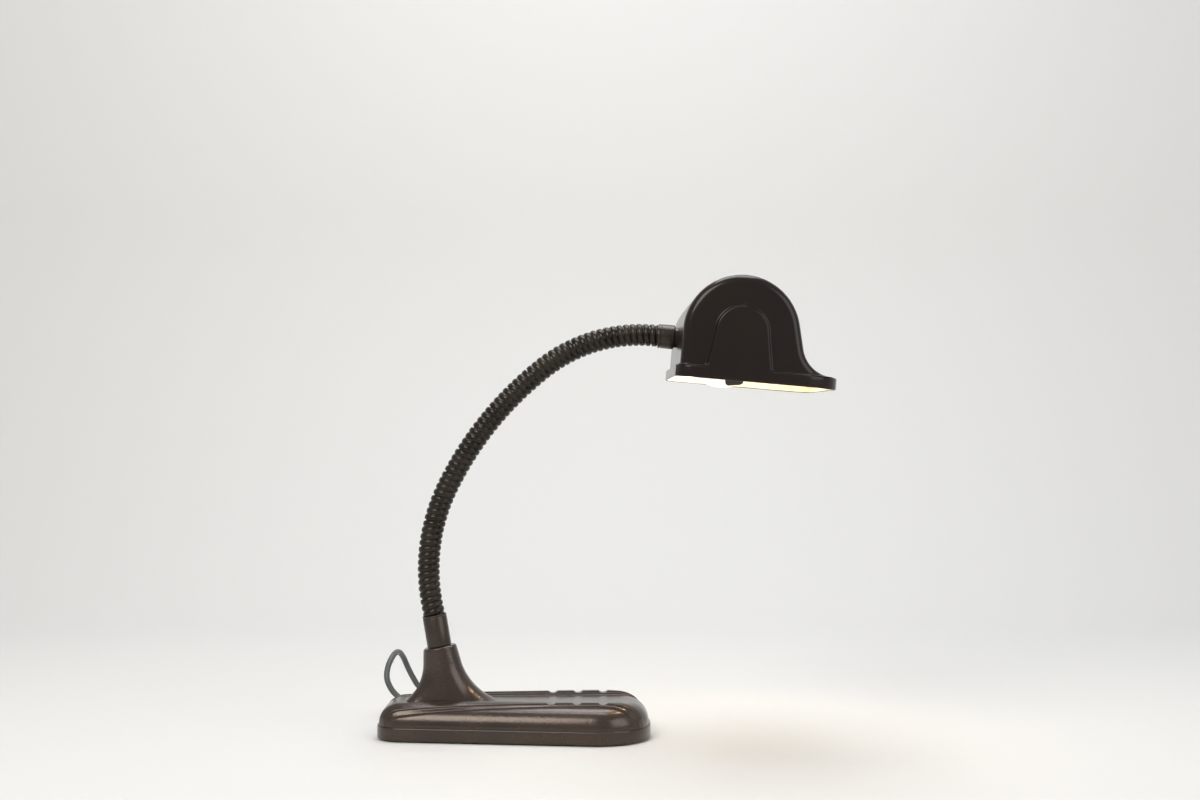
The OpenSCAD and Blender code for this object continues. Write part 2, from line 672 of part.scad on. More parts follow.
module socket_bracket() color("silver") in_hood() difference() {
  translate([bracket_x, bracket_y, -bracket_width / 2]) {
    cube([bracket_thickness, bracket_width / 2 + bracket_reach - bracket_y, bracket_width]);
    cube([bulb_forward + bracket_width / 2 - wall_x, bracket_thickness, bracket_width]);
  }
  rotate([0, 90, 0]) cylinder(r = nipple_radius + fit, h = arch_radius);
  translate([bulb_forward, bracket_y - past, -bulb_drop]) rotate([-90, 0, 0])
    cylinder(r = nipple_radius + fit, h = bracket_thickness + 2 * past);
}

socket_nipple_low = bracket_y - nut_height - thread_end;
module socket_nipple() color(brass) on_bulb() translate([0, 0, socket_nipple_low])
  tube(nipple_radius, nipple_bore, cap_low + cap_floor + thread_end - socket_nipple_low);
module socket_nut() color(brass) on_bulb() translate([0, 0, bracket_y - nut_height])
  hex_nut(nipple_radius + locknut_reach, nipple_radius + fit, nut_height);

// ---- bulb ----
bulb_radius = bulb_diameter / 2;
bulb_centre = contact_z + bulb_length - bulb_radius;
glass = 0.7;
bulb_neck = cap_radius - 1;
cap_start = contact_z + 4;
cap_length = 23;
cap_end_wall = 1;
cap_mouth = 8;
neck_low = contact_z + 20;
neck_high = contact_z + 29;
contact_flat = 4;
contact_step = 1;
insulator_radius = 11.5;
flare_radius = 4;
flare_length = 12;
filament_turn = 25;
support_radius = 0.5;
support_foot = 2.5;
coil_wire_radius = 0.7;

// Where a straight line from the neck touches the bulb's round part.
function bulb_touch(neck, radius) = let (d = [neck, neck_high - bulb_centre],
    a = along_angle(d) + acos(radius / norm(d))) [radius * cos(a), bulb_centre + radius * sin(a)];

module bulb_profile(margin) intersection() {
  union() {
    translate([0, bulb_centre]) circle(bulb_radius - margin);
    polygon([[0, neck_low], [bulb_neck - margin, neck_low], [bulb_neck - margin, neck_high],
      bulb_touch(bulb_neck - margin, bulb_radius - margin), [0, bulb_centre]]);
  }
  translate([0, neck_low]) square([bulb_radius, bulb_length]);
}

module bulb_glass() color("white") on_bulb() rotate_extrude($fn = 96) difference() {
  bulb_profile(0);
  bulb_profile(glass);
  translate([0, neck_low - past]) square([bulb_neck - glass, 2 * past]);
}

module bulb_cap() color("gainsboro") on_bulb() difference() {
  translate([0, 0, cap_start]) cylinder(r = cap_radius, h = cap_length);
  translate([0, 0, cap_start + cap_end_wall]) cylinder(r = bulb_neck + fit, h = cap_length);
  translate([0, 0, cap_start - past]) cylinder(r = cap_mouth, h = cap_length);
}

module bulb_contact() color("dimgray") on_bulb() rotate_extrude()
  polygon([[0, contact_z], [contact_flat, contact_z], [contact_flat + contact_step, contact_z + contact_step],
    [insulator_radius, cap_start], [cap_mouth - fit, cap_start], [cap_mouth - fit, cap_start + cap_end_wall],
    [0, cap_start + cap_end_wall]]);

module bulb_filament() color("lightgray") on_bulb() {
  stem_base = cap_start + cap_end_wall;
  support_z = neck_high + flare_length - past;
  support = bulb_centre - support_z;
  translate([0, 0, stem_base]) cylinder(r1 = cap_mouth - fit, r2 = flare_radius, h = neck_high - stem_base);
  translate([0, 0, neck_high]) cylinder(r = flare_radius, h = flare_length);
  for (side = [-1, 1]) translate([support_foot * side, 0, support_z]) rotate([0, filament_turn * side, 0])
    cylinder(r = support_radius, h = support);
  translate([0, 0, support_z + (support - past) * cos(filament_turn)]) rotate([0, 90, 0])
    cylinder(r = coil_wire_radius, h = 2 * (support_foot + support * sin(filament_turn)), center = true);
}

// ---- key switch ----
module on_key() on_bulb() translate([0, 0, key_z]) rotate([0, 0, key_tilt]) rotate([-90, 0, 0]) children();
paddle_low = holder_radius + 1;
paddle_boss = 5;
boss_wall = 1;
shaft_inner = 5;

module key_shaft() color("dimgray") on_key() translate([0, 0, shaft_inner])
  cylinder(r = key_shaft_radius, h = paddle_low + paddle_boss - shaft_inner);

module key_paddle() color([0.08, 0.06, 0.05]) on_key() difference() {
  translate([0, 0, paddle_low]) rotate([90, 0, 0]) linear_extrude(key_thickness, center = true) {
    corner_start = key_reach - paddle_low - key_corner;
    for (side = [-1, 1]) translate([side * (key_width / 2 - key_corner), corner_start]) circle(key_corner);
    translate([-key_width / 2, paddle_boss - boss_wall])
      square([key_width, corner_start - paddle_boss + boss_wall]);
    translate([key_corner - key_width / 2, paddle_boss])
      square([key_width - 2 * key_corner, key_reach - paddle_low - paddle_boss]);
    translate([-key_shaft_radius - boss_wall, 0]) square([2 * (key_shaft_radius + boss_wall), paddle_boss]);
  }
  cylinder(r = key_shaft_radius + fit, h = paddle_low + paddle_boss);
}

// ---- cord and leads ----
// The cord from its outlet: back from the base, up in a stiff loop, down to the table and to the coil.
CORD_POINTS = [[-77.5, 52.6, 5.8], [-79.5, 60, 7], [-84, 66, 10], [-91, 70, 15], [-98, 72.5, 21.5],
  [-102, 75.5, 29.5], [-102, 80.5, 37.5], [-100, 88, 43.5], [-98, 97, 46.5], [-96, 106.5, 45.5],
  [-94, 115, 40.5], [-91.5, 121, 32.5], [-88, 125, 24], [-83.5, 127.5, 16], [-76.5, 129, 9.5],
  [-68, 128.3, 5.2], [-59.5, 124.8, 3], [-51.5, 118.5, 2.4], [-45.3, 109.5, 2.3], [-42.2, 99, 2.3],
  [-41.5, 89, 2.3]];
// The short tail from the top of the coil to the plug.
TAIL_POINTS = [[-19.5, 52.9, 15.6], [-9.5, 49.6, 14.4], [0.5, 48.6, 10], [10.5, 49.6, 6.4],
  [20, 52.5, 4.6], [29, 56.2, 4.8], [37, 59.2, 6.3], [45, 60, 7.2]];
COIL_PLACE = [-10, 84, 0];
PLUG_PLACE = [44, 60, 0];

// A round tube along a list of points. Each ring stands square to the path there.
function tangent(path, i) = unit(path[min(i + 1, len(path) - 1)] - path[max(i - 1, 0)]);
function cord_ring(path, i, radius, sides) = let (t = tangent(path, i),
    a = unit(cross(abs(t.z) > 0.9 ? [0, 1, 0] : [0, 0, 1], t)), b = cross(t, a))
  [for (j = [0:sides - 1]) path[i] + radius * (cos(360 * j / sides) * a + sin(360 * j / sides) * b)];
module sweep(path, radius, sides) rings_solid(
  [for (i = [0:len(path) - 1]) cord_ring(path, i, radius, sides)]);

outlet = [outlet_point.x, outlet_point.y, outlet_z];
cord_sides = 10;
lead_sides = 8;
module cord_run() color(rubber) {
  sweep(concat([outlet], CORD_POINTS), cord_diameter / 2, cord_sides);
  sweep(TAIL_POINTS, cord_diameter / 2, cord_sides);
}

coil_half = coil_rows * cord_diameter / 2;
module cord_coil() color(rubber) translate(COIL_PLACE) rotate_extrude()
  translate([coil_radius - coil_half, 0]) square([2 * coil_half, 2 * coil_half]);

module cord_relief() color(rubber) on_outlet() difference() {
  union() {
    translate([0, 0, -relief_depth]) cylinder(r = relief_neck, h = relief_depth + flange_thickness);
    cylinder(r = relief_flange, h = flange_thickness);
    cylinder(r1 = relief_neck, r2 = outlet_bore + relief_wall / 2, h = relief_length);
  }
  translate([0, 0, -relief_depth - past])
    cylinder(r = outlet_bore, h = relief_depth + relief_length + 2 * past);
}

// The cord goes on inside the base, up to the stem's threaded tube and into the neck.
lead_radius = lead_diameter / 2;
nipple_low_point = stem_top - (stem_web + nipple_below_web) * along3(90 + stem_lean);
stem_low_point = stem_top - (stem_height - base_top + shoulder_radius) * along3(90 + stem_lean);
nipple_top_point = stem_top + nipple_in_ferrule * along3(90 + stem_lean);
inner_point = outlet - 1.5 * relief_depth * [cos(side_normal), sin(side_normal), 0];
floor_point = [(inner_point.x + stem_low_point.x) / 2, inner_point.y / 2, outlet_z + past];
module base_lead() color("black") sweep([outlet, inner_point, floor_point,
  [stem_low_point.x, past, (outlet_z + stem_low_point.z) / 2], stem_low_point, nipple_low_point,
  nipple_top_point], lead_radius, lead_sides);

module neck_lead() color("black") sweep(concat([nipple_top_point],
  [for (k = [0:link_count + 1]) link_start(k)], [neck_end + thread_end * along3(-hood_pitch)]),
  lead_radius, lead_sides);

// From the neck's lead round the bracket and into the holder's threaded tube.
strand_radius = 0.7 * lead_radius;
turn_reach = 3;
half_reach = turn_reach * (1 - cos(45));
side_z = bracket_width / 2 + lead_diameter;
behind_y = bracket_y - nut_height - lead_diameter;
module socket_lead() color("black") in_hood() sweep([[thread_end + gap, 0, 0], [hood_nipple_end - past, 0, 0],
  [hood_nipple_end + turn_reach - half_reach, -half_reach, 0],
  [hood_nipple_end + turn_reach, -turn_reach, 0],
  [hood_nipple_end + turn_reach, -3 * turn_reach, side_z / 4],
  [hood_nipple_end + turn_reach, -5 * turn_reach, side_z * 0.7],
  [hood_nipple_end + turn_reach, -8 * turn_reach, side_z],
  [hood_nipple_end + turn_reach, bracket_y + 2 * turn_reach, side_z],
  [hood_nipple_end + 2 * turn_reach, (bracket_y + behind_y) / 2, side_z * 0.9],
  [hood_nipple_end + 5 * turn_reach, behind_y, side_z / 4],
  [bulb_forward - turn_reach, behind_y, -bulb_drop],
  [bulb_forward - half_reach, behind_y + half_reach, -bulb_drop],
  [bulb_forward, behind_y + turn_reach, -bulb_drop],
  [bulb_forward, core_low - gap, -bulb_drop]], strand_radius, lead_sides);

// ---- plug ----
blade_spacing = 12.7;
blade_thickness = 1.5;
blade_width = 6.4;
plug_corner = 3;
plug_taper = 3;
plug_bore = 7;
module plug_corners(x, half) for (side = [-1, 1]) translate([x, side * (half - plug_corner), 0])
  cylinder(r = plug_corner, h = plug_height, $fn = 32);

module plug_body() color(rubber) translate(PLUG_PLACE) difference() {
  hull() {
    plug_corners(plug_corner, plug_width / 2 - plug_taper);
    plug_corners(plug_length - plug_corner, plug_width / 2);
  }
  translate([-past, 0, plug_height / 2]) rotate([0, 90, 0]) cylinder(r = outlet_bore, h = plug_bore);
}

module plug_blades() color("silver") translate(PLUG_PLACE) for (side = [-1, 1])
  translate([plug_length, (side * blade_spacing - blade_thickness) / 2, (plug_height - blade_width) / 2])
    cube([blade_length, blade_thickness, blade_width]);

base_casting();
bottom_plate();
felt_pad();
plate_screws();
stem_nipple();
stem_washer();
stem_locknut();
lower_ferrule();
cord_relief();
base_lead();
cord_run();
cord_coil();
plug_body();
plug_blades();
neck_hose_00();
neck_link(1);  // neck_hose_01
neck_link(2);  // neck_hose_02
neck_link(3);  // neck_hose_03
neck_link(4);  // neck_hose_04
neck_link(5);  // neck_hose_05
neck_link(6);  // neck_hose_06
neck_link(7);  // neck_hose_07
neck_link(8);  // neck_hose_08
neck_link(9);  // neck_hose_09
neck_link(10);  // neck_hose_10
neck_link(11);  // neck_hose_11
neck_link(12);  // neck_hose_12
neck_link(13);  // neck_hose_13
neck_link(14);  // neck_hose_14
neck_link(15);  // neck_hose_15
neck_link(16);  // neck_hose_16
neck_lead();
upper_collar();
hood_nipple();
hood();
socket_bracket();
hood_washer();
hood_locknut();
socket_nipple();
socket_nut();
socket_cap();
socket_shell();
socket_liner();
socket_core();
terminal_screws();
centre_contact();
screw_shell();
socket_lead();
bulb_glass();
bulb_cap();
bulb_contact();
bulb_filament();
key_shaft();
key_paddle();
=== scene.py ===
"""Gooseneck desk lamp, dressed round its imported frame.

Lengths are in millimetres in the lamp's own frame (origin on the table under the middle of the base, +Z up,
+X towards the hood, +Y the far side), except where the stage and the lamps say metres. Meshes are written in
metres.
"""

from __future__ import annotations

import json
import logging
import math
from dataclasses import dataclass, field
from enum import Enum
from typing import Callable, Sequence

import bmesh
import bpy
from mathutils import Matrix, Vector

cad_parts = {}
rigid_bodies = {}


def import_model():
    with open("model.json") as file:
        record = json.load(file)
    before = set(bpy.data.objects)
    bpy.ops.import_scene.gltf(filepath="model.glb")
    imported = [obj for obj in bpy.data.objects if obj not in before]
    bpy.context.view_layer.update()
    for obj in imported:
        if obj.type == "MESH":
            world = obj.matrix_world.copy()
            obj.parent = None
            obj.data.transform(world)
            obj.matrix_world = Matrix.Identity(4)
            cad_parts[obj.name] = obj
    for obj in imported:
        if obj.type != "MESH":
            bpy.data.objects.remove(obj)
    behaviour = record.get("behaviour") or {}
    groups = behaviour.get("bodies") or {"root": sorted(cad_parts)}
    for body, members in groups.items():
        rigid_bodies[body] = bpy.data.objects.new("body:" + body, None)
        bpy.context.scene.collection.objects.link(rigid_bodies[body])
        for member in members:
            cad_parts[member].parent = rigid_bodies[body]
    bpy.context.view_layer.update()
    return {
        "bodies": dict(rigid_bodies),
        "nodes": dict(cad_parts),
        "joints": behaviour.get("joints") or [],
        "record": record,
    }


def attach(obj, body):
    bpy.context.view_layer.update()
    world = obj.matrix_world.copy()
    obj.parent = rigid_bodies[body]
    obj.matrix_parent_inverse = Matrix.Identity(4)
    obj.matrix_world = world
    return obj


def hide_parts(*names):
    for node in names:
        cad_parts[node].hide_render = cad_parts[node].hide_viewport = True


LOG = logging.getLogger("lamp")
MM = 0.001
Point = tuple[float, float, float]
Color = tuple[float, float, float]
Flat = list[tuple[float, float]]
Ring = list[Vector]
Socket = bpy.types.NodeSocket
QUARTER = tuple(math.radians(18 * i) for i in range(6))
MANY_SIDES, SOME_SIDES, FEW_SIDES = 72, 56, 40


# ---- small geometry helpers ----


def turn(axis: str, degrees: float) -> Matrix:
    """A turn about one axis."""
    return Matrix.Rotation(math.radians(degrees), 4, axis)


def shift(x: float, y: float, z: float) -> Matrix:
    """A move."""
    return Matrix.Translation((x, y, z))


def circle(sides: int) -> list[float]:
    """Even angles round a circle, in radians."""
    return [2 * math.pi * j / sides for j in range(sides)]


def add(name: str, data: bpy.types.ID) -> bpy.types.Object:
    """Links a new object with some data into the scene."""
    thing = bpy.data.objects.new(name, data)
    bpy.context.scene.collection.objects.link(thing)
    return thing


def boolean(thing: bpy.types.Object, other: bpy.types.Object, operation: str) -> bpy.types.BooleanModifier:
    """Adds an exact boolean with another object."""
    made = thing.modifiers.new(other.name, "BOOLEAN")
    made.object, made.operation, made.solver = other, operation, "EXACT"
    return made


def evaluated(thing: bpy.types.Object) -> bpy.types.Mesh:
    """A new mesh of an object after its modifiers."""
    graph = bpy.context.evaluated_depsgraph_get()
    return bpy.data.meshes.new_from_object(thing.evaluated_get(graph))


def shaded(mesh: bpy.types.Mesh, sharp: float) -> bpy.types.Mesh:
    """Shades a mesh smooth, with edges that turn more than some degrees kept sharp."""
    mesh.shade_smooth()
    mesh.set_sharp_from_angle(angle=math.radians(sharp))
    return mesh


def remove(*things: bpy.types.Object) -> None:
    """Takes helper objects out again."""
    for thing in things:
        bpy.data.objects.remove(thing)


def arc(cx: float, cy: float, radius: float, start: float, end: float, steps: int) -> Flat:
    """Points on an arc.

    Args:
        cx: First coordinate of the centre.
        cy: Second coordinate of the centre.
        radius: Radius of the arc.
        start: Angle of the first point, in degrees.
        end: Angle of the last point, in degrees.
        steps: Number of pieces between them.

    Returns:
        The steps + 1 points.
    """
    angles = [math.radians(start + (end - start) * i / steps) for i in range(steps + 1)]
    return [(cx + radius * math.cos(a), cy + radius * math.sin(a)) for a in angles]


def rounded(corners: Sequence[Point], steps: int = 4, closed: bool = True) -> Flat:
    """A flat outline with rounded corners.

    Args:
        corners: Each corner with the radius that rounds it.
        steps: Pieces in each rounding.
        closed: Whether the last corner joins the first.

    Returns:
        The outline's points.
    """
    points: Flat = []
    count = len(corners)
    for i, (x, y, radius) in enumerate(corners):
        here = Vector((x, y))
        if radius <= 0 or (not closed and i in (0, count - 1)):
            points.append((x, y))
            continue
        before = Vector(corners[i - 1][:2]) - here
        after = Vector(corners[(i + 1) % count][:2]) - here
        half = before.angle(after) / 2
        reach = min(radius / math.tan(half), 0.49 * before.length, 0.49 * after.length)
        a, b = here + before.normalized() * reach, here + after.normalized() * reach
        for j in range(steps + 1):
            t = j / steps
            points.append(tuple((1 - t) ** 2 * a + 2 * t * (1 - t) * here + t * t * b))
    return points


def oblong(x: float, low: float, high: float, corner: float, steps: int = 4) -> Flat:
    """A rounded rectangle, x to both sides and from low to high."""
    return rounded([(-x, low, corner), (x, low, corner), (x, high, corner), (-x, high, corner)], steps)


def smooth(t: float) -> float:
    """An S-curve from 0 to 1."""
    t = min(1.0, max(0.0, t))
    return t * t * (3 - 2 * t)


def smooth_path(points: Sequence[Point], step: float) -> list[Vector]:
    """A smooth curve through points, evenly divided.

    Args:
        points: The points that it passes through.
        step: About how far apart the new points are.

    Returns:
        The new points, with the first and last kept.
    """
    pts = [Vector(p) for p in points]
    pts = [2 * pts[0] - pts[1]] + pts + [2 * pts[-1] - pts[-2]]
    fine: list[Vector] = []
    for a, b, c, d in zip(pts, pts[1:], pts[2:], pts[3:]):
        parts = max(1, round((c - b).length / step))
        for i in range(parts):
            t = i / parts
            fine.append(0.5 * (2 * b + (c - a) * t + (2 * a - 5 * b + 4 * c - d) * t ** 2
                               + (3 * b - a - 3 * c + d) * t ** 3))
    fine.append(pts[-2])
    return fine


def smooth_profile(points: Flat) -> Flat:
    """Softens the corners of an open profile, with both ends kept."""
    soft = list(points)
    for _ in range(2):
        inner = [((a[0] + 2 * b[0] + c[0]) / 4, (a[1] + 2 * b[1] + c[1]) / 4)
                 for a, b, c in zip(soft, soft[1:], soft[2:])]
        soft = [soft[0]] + inner + [soft[-1]]
    return soft


@dataclass
class Form:
    """A mesh being made, in millimetres, with one material number for each face."""

    points: list[Vector] = field(default_factory=list)
    faces: list[tuple[int, ...]] = field(default_factory=list)
    paints: list[int] = field(default_factory=list)

    def rings(self, rings: Sequence[Ring], place: Matrix = Matrix.Identity(4), caps: bool = True,
              loop: bool = False, paint: int = 0) -> Form:
        """Joins rings of equal count into a skin.

        Args:
            rings: The rings in order.
            place: Where they go.
            caps: Whether the first and last ring are filled.
            loop: Whether the last ring joins the first.
            paint: Material number of the faces.

        Returns:
            This form.
        """
        start, sides = len(self.points), len(rings[0])
        for ring in rings:
            self.points += [place @ p for p in ring]
        total = len(rings)
        made: list[tuple[int, ...]] = []
        for i in range(total if loop else total - 1):
            low, high = start + i * sides, start + ((i + 1) % total) * sides
            for j in range(sides):
                k = (j + 1) % sides
                made.append((low + j, low + k, high + k, high + j))
        if caps and not loop:
            made.append(tuple(start + j for j in reversed(range(sides))))
            made.append(tuple(start + (total - 1) * sides + j for j in range(sides)))
        self.faces += made
        self.paints += [paint] * len(made)
        return self

    def lathe(self, profile: Flat, place: Matrix = Matrix.Identity(4), sides: int = 64, closed: bool = True,
              paint: int = 0) -> Form:
        """Turns a profile of (radius, height) points about the local Z axis.

        Args:
            profile: The profile. A closed one makes a hollow body, and an open one a full body if it starts
                and ends on the axis.
            place: Where the turned body goes.
            sides: Points round it.
            closed: Whether the profile is closed.
            paint: Material number of the faces.

        Returns:
            This form.
        """
        angles = circle(sides)
        rings = [[Vector((r * math.cos(a), r * math.sin(a), z)) for a in angles] for r, z in profile]
        return self.rings(rings, place, caps=False, loop=closed, paint=paint)

    def tube(self, path: Sequence[Vector], radius: float | Callable[[float], float], sides: int = 16,
             paint: int = 0) -> Form:
        """Sweeps a round section along a path.

        Args:
            path: The path's points.
            radius: The radius, or a function of the distance along the path.
            sides: Points round it.
            paint: Material number of the faces.

        Returns:
            This form.
        """
        rings, along = [], 0.0
        across = Vector((0, 0, 1))
        for i, here in enumerate(path):
            ahead = (path[min(i + 1, len(path) - 1)] - path[max(i - 1, 0)]).normalized()
            if i == 0 and abs(ahead.z) > 0.9:
                across = Vector((0, 1, 0))
            across = (across - ahead * across.dot(ahead)).normalized()
            other = ahead.cross(across)
            along += (here - path[i - 1]).length if i else 0.0
            reach = radius(along) if callable(radius) else radius
            rings.append([here + reach * (math.cos(a) * across + math.sin(a) * other)
                          for a in circle(sides)])
        return self.rings(rings, caps=True, paint=paint)

    def slab(self, outline: Flat, low: float, high: float, edge: float,
             place: Matrix = Matrix.Identity(4), paint: int = 0, steps: int = 3) -> Form:
        """A plate with rounded edges, from a flat outline that runs counterclockwise.

        Args:
            outline: Its outline in the local XY plane.
            low: Height of its underside.
            high: Height of its top.
            edge: Radius of its edges.
            place: Where it goes.
            paint: Material number of the faces.
            steps: Pieces in each edge.

        Returns:
            This form.
        """
        flat = [Vector((x, y, 0)) for x, y in outline]
        count = len(flat)
        inward = []
        for i in range(count):
            run = (flat[(i + 1) % count] - flat[i - 1]).normalized()
            inward.append(Vector((-run.y, run.x, 0)))
        rings = []
        order = list(range(steps + 1))
        for level, way, turns in ((low, 1, order), (high, -1, order[::-1])):
            for t in turns:
                a = math.radians(90 * t / steps)
                up = Vector((0, 0, level + way * edge * (1 - math.cos(a))))
                rings.append([p + n * edge * (1 - math.sin(a)) + up for p, n in zip(flat, inward)])
        return self.rings(rings, place, paint=paint)

    def mesh(self, name: str, sharp: float = 32) -> bpy.types.Mesh:
        """Writes the form as a mesh in metres.

        Args:
            name: The mesh's name.
            sharp: Edges that turn more than this many degrees stay sharp.

        Returns:
            The mesh.
        """
        mesh = bpy.data.meshes.new(name)
        mesh.from_pydata([p * MM for p in self.points], [], self.faces)
        mesh.polygons.foreach_set("material_index", self.paints)
        work = bmesh.new()
        work.from_mesh(mesh)
        bmesh.ops.remove_doubles(work, verts=work.verts, dist=2e-6)
        bmesh.ops.dissolve_degenerate(work, edges=work.edges, dist=1e-6)
        bmesh.ops.recalc_face_normals(work, faces=work.faces)
        work.to_mesh(mesh)
        work.free()
        return shaded(mesh, sharp)


class Maker:
    """Puts finished meshes into the scene as pieces."""

    @staticmethod
    def piece(name: str, mesh: bpy.types.Mesh, finishes: Sequence[bpy.types.Material], slot: str, body: str,
              replaces: Sequence[str] = ()) -> bpy.types.Object:
        """Adds one piece.

        Args:
            name: Name of the piece.
            mesh: Its mesh, in metres.
            finishes: Its materials.
            slot: The record's material slot; not used.
            body: The CAD body that it rides on.
            replaces: The CAD nodes that it stands for.

        Returns:
            The new object.
        """
        paints = [polygon.material_index for polygon in mesh.polygons]
        mesh.materials.clear()
        for finish in finishes:
            mesh.materials.append(finish)
        mesh.polygons.foreach_set("material_index", paints)
        thing = add(name, mesh)
        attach(thing, body)
        if replaces:
            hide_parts(*replaces)
        LOG.info("piece %s: %d faces on %s", name, len(mesh.polygons), body)
        return thing

    @staticmethod
    def turned(name: str, profile: Flat, place: Matrix, sides: int, finish: bpy.types.Material, slot: str,
               body: str, replaces: str) -> bpy.types.Object:
        """Adds a piece that is one closed profile turned about its axis.

        Args:
            name: Name of the piece.
            profile: Its (radius, height) points.
            place: Where it goes.
            sides: Points round it.
            finish: Its material.
            slot: The record's material slot, passed on but not used.
            body: The CAD body that it rides on.
            replaces: The CAD node that it stands for.

        Returns:
            The new object.
        """
        mesh = Form().lathe(profile, place, sides).mesh(name)
        return Maker.piece(name, mesh, [finish], slot, body, [replaces])


# ---- finishes ----


class Wiring:
    """Short ways to add and join nodes in one tree."""

    def __init__(self, tree: bpy.types.NodeTree) -> None:
        """Works on one tree."""
        self.tree = tree

    def feed(self, into: Socket, value: object) -> None:
        """Joins an output to an input, or sets the input's own value."""
        if isinstance(value, Socket):
            self.tree.links.new(value, into)
        else:
            into.default_value = value

    def node(self, kind: str, **values: object) -> bpy.types.Node:
        """Adds a node.

        Args:
            kind: Type name of the node.
            values: Its settings, and the outputs or values that its inputs get.

        Returns:
            The node.
        """
        made = self.tree.nodes.new(kind)
        for key, value in values.items():
            if hasattr(made, key):
                setattr(made, key, value)
            else:
                self.feed(made.inputs[key.replace("_", " ")], value)
        return made

    def math(self, operation: str, *values: Socket | float) -> Socket:
        """A math node on outputs or numbers, and its output."""
        made = self.node("ShaderNodeMath", operation=operation)
        for into, value in zip(made.inputs, values):
            self.feed(into, value)
        return made.outputs[0]

    def vector(self, operation: str, *values: Socket) -> bpy.types.NodeOutputs:
        """A vector math node on outputs, and its outputs."""
        made = self.node("ShaderNodeVectorMath", operation=operation)
        for into, value in zip(made.inputs, values):
            self.feed(into, value)
        return made.outputs

    def mix(self, factor: Socket, a: Socket | tuple, b: Socket | tuple) -> Socket:
        """A mix of two colours."""
        made = self.node("ShaderNodeMix", data_type="RGBA")
        for i, value in zip((0, 6, 7), (factor, a, b)):
            self.feed(made.inputs[i], value)
        return made.outputs[2]

    def group(self, tree: bpy.types.NodeTree, **values: object) -> bpy.types.NodeOutputs:
        """Places a group, with values for its inputs, and gives its outputs."""
        made = self.tree.nodes.new("ShaderNodeGroup")
        made.node_tree = tree
        for key, value in values.items():
            made.inputs[key].default_value = value
        return made.outputs


FLOAT, COLOR, VECTOR = "NodeSocketFloat", "NodeSocketColor", "NodeSocketVector"


class Kind(Enum):
    """What a shader group works out."""

    GRAIN = "grain"
    MOTTLE = "mottle"
    EDGES = "edges"
    STREAKS = "streaks"


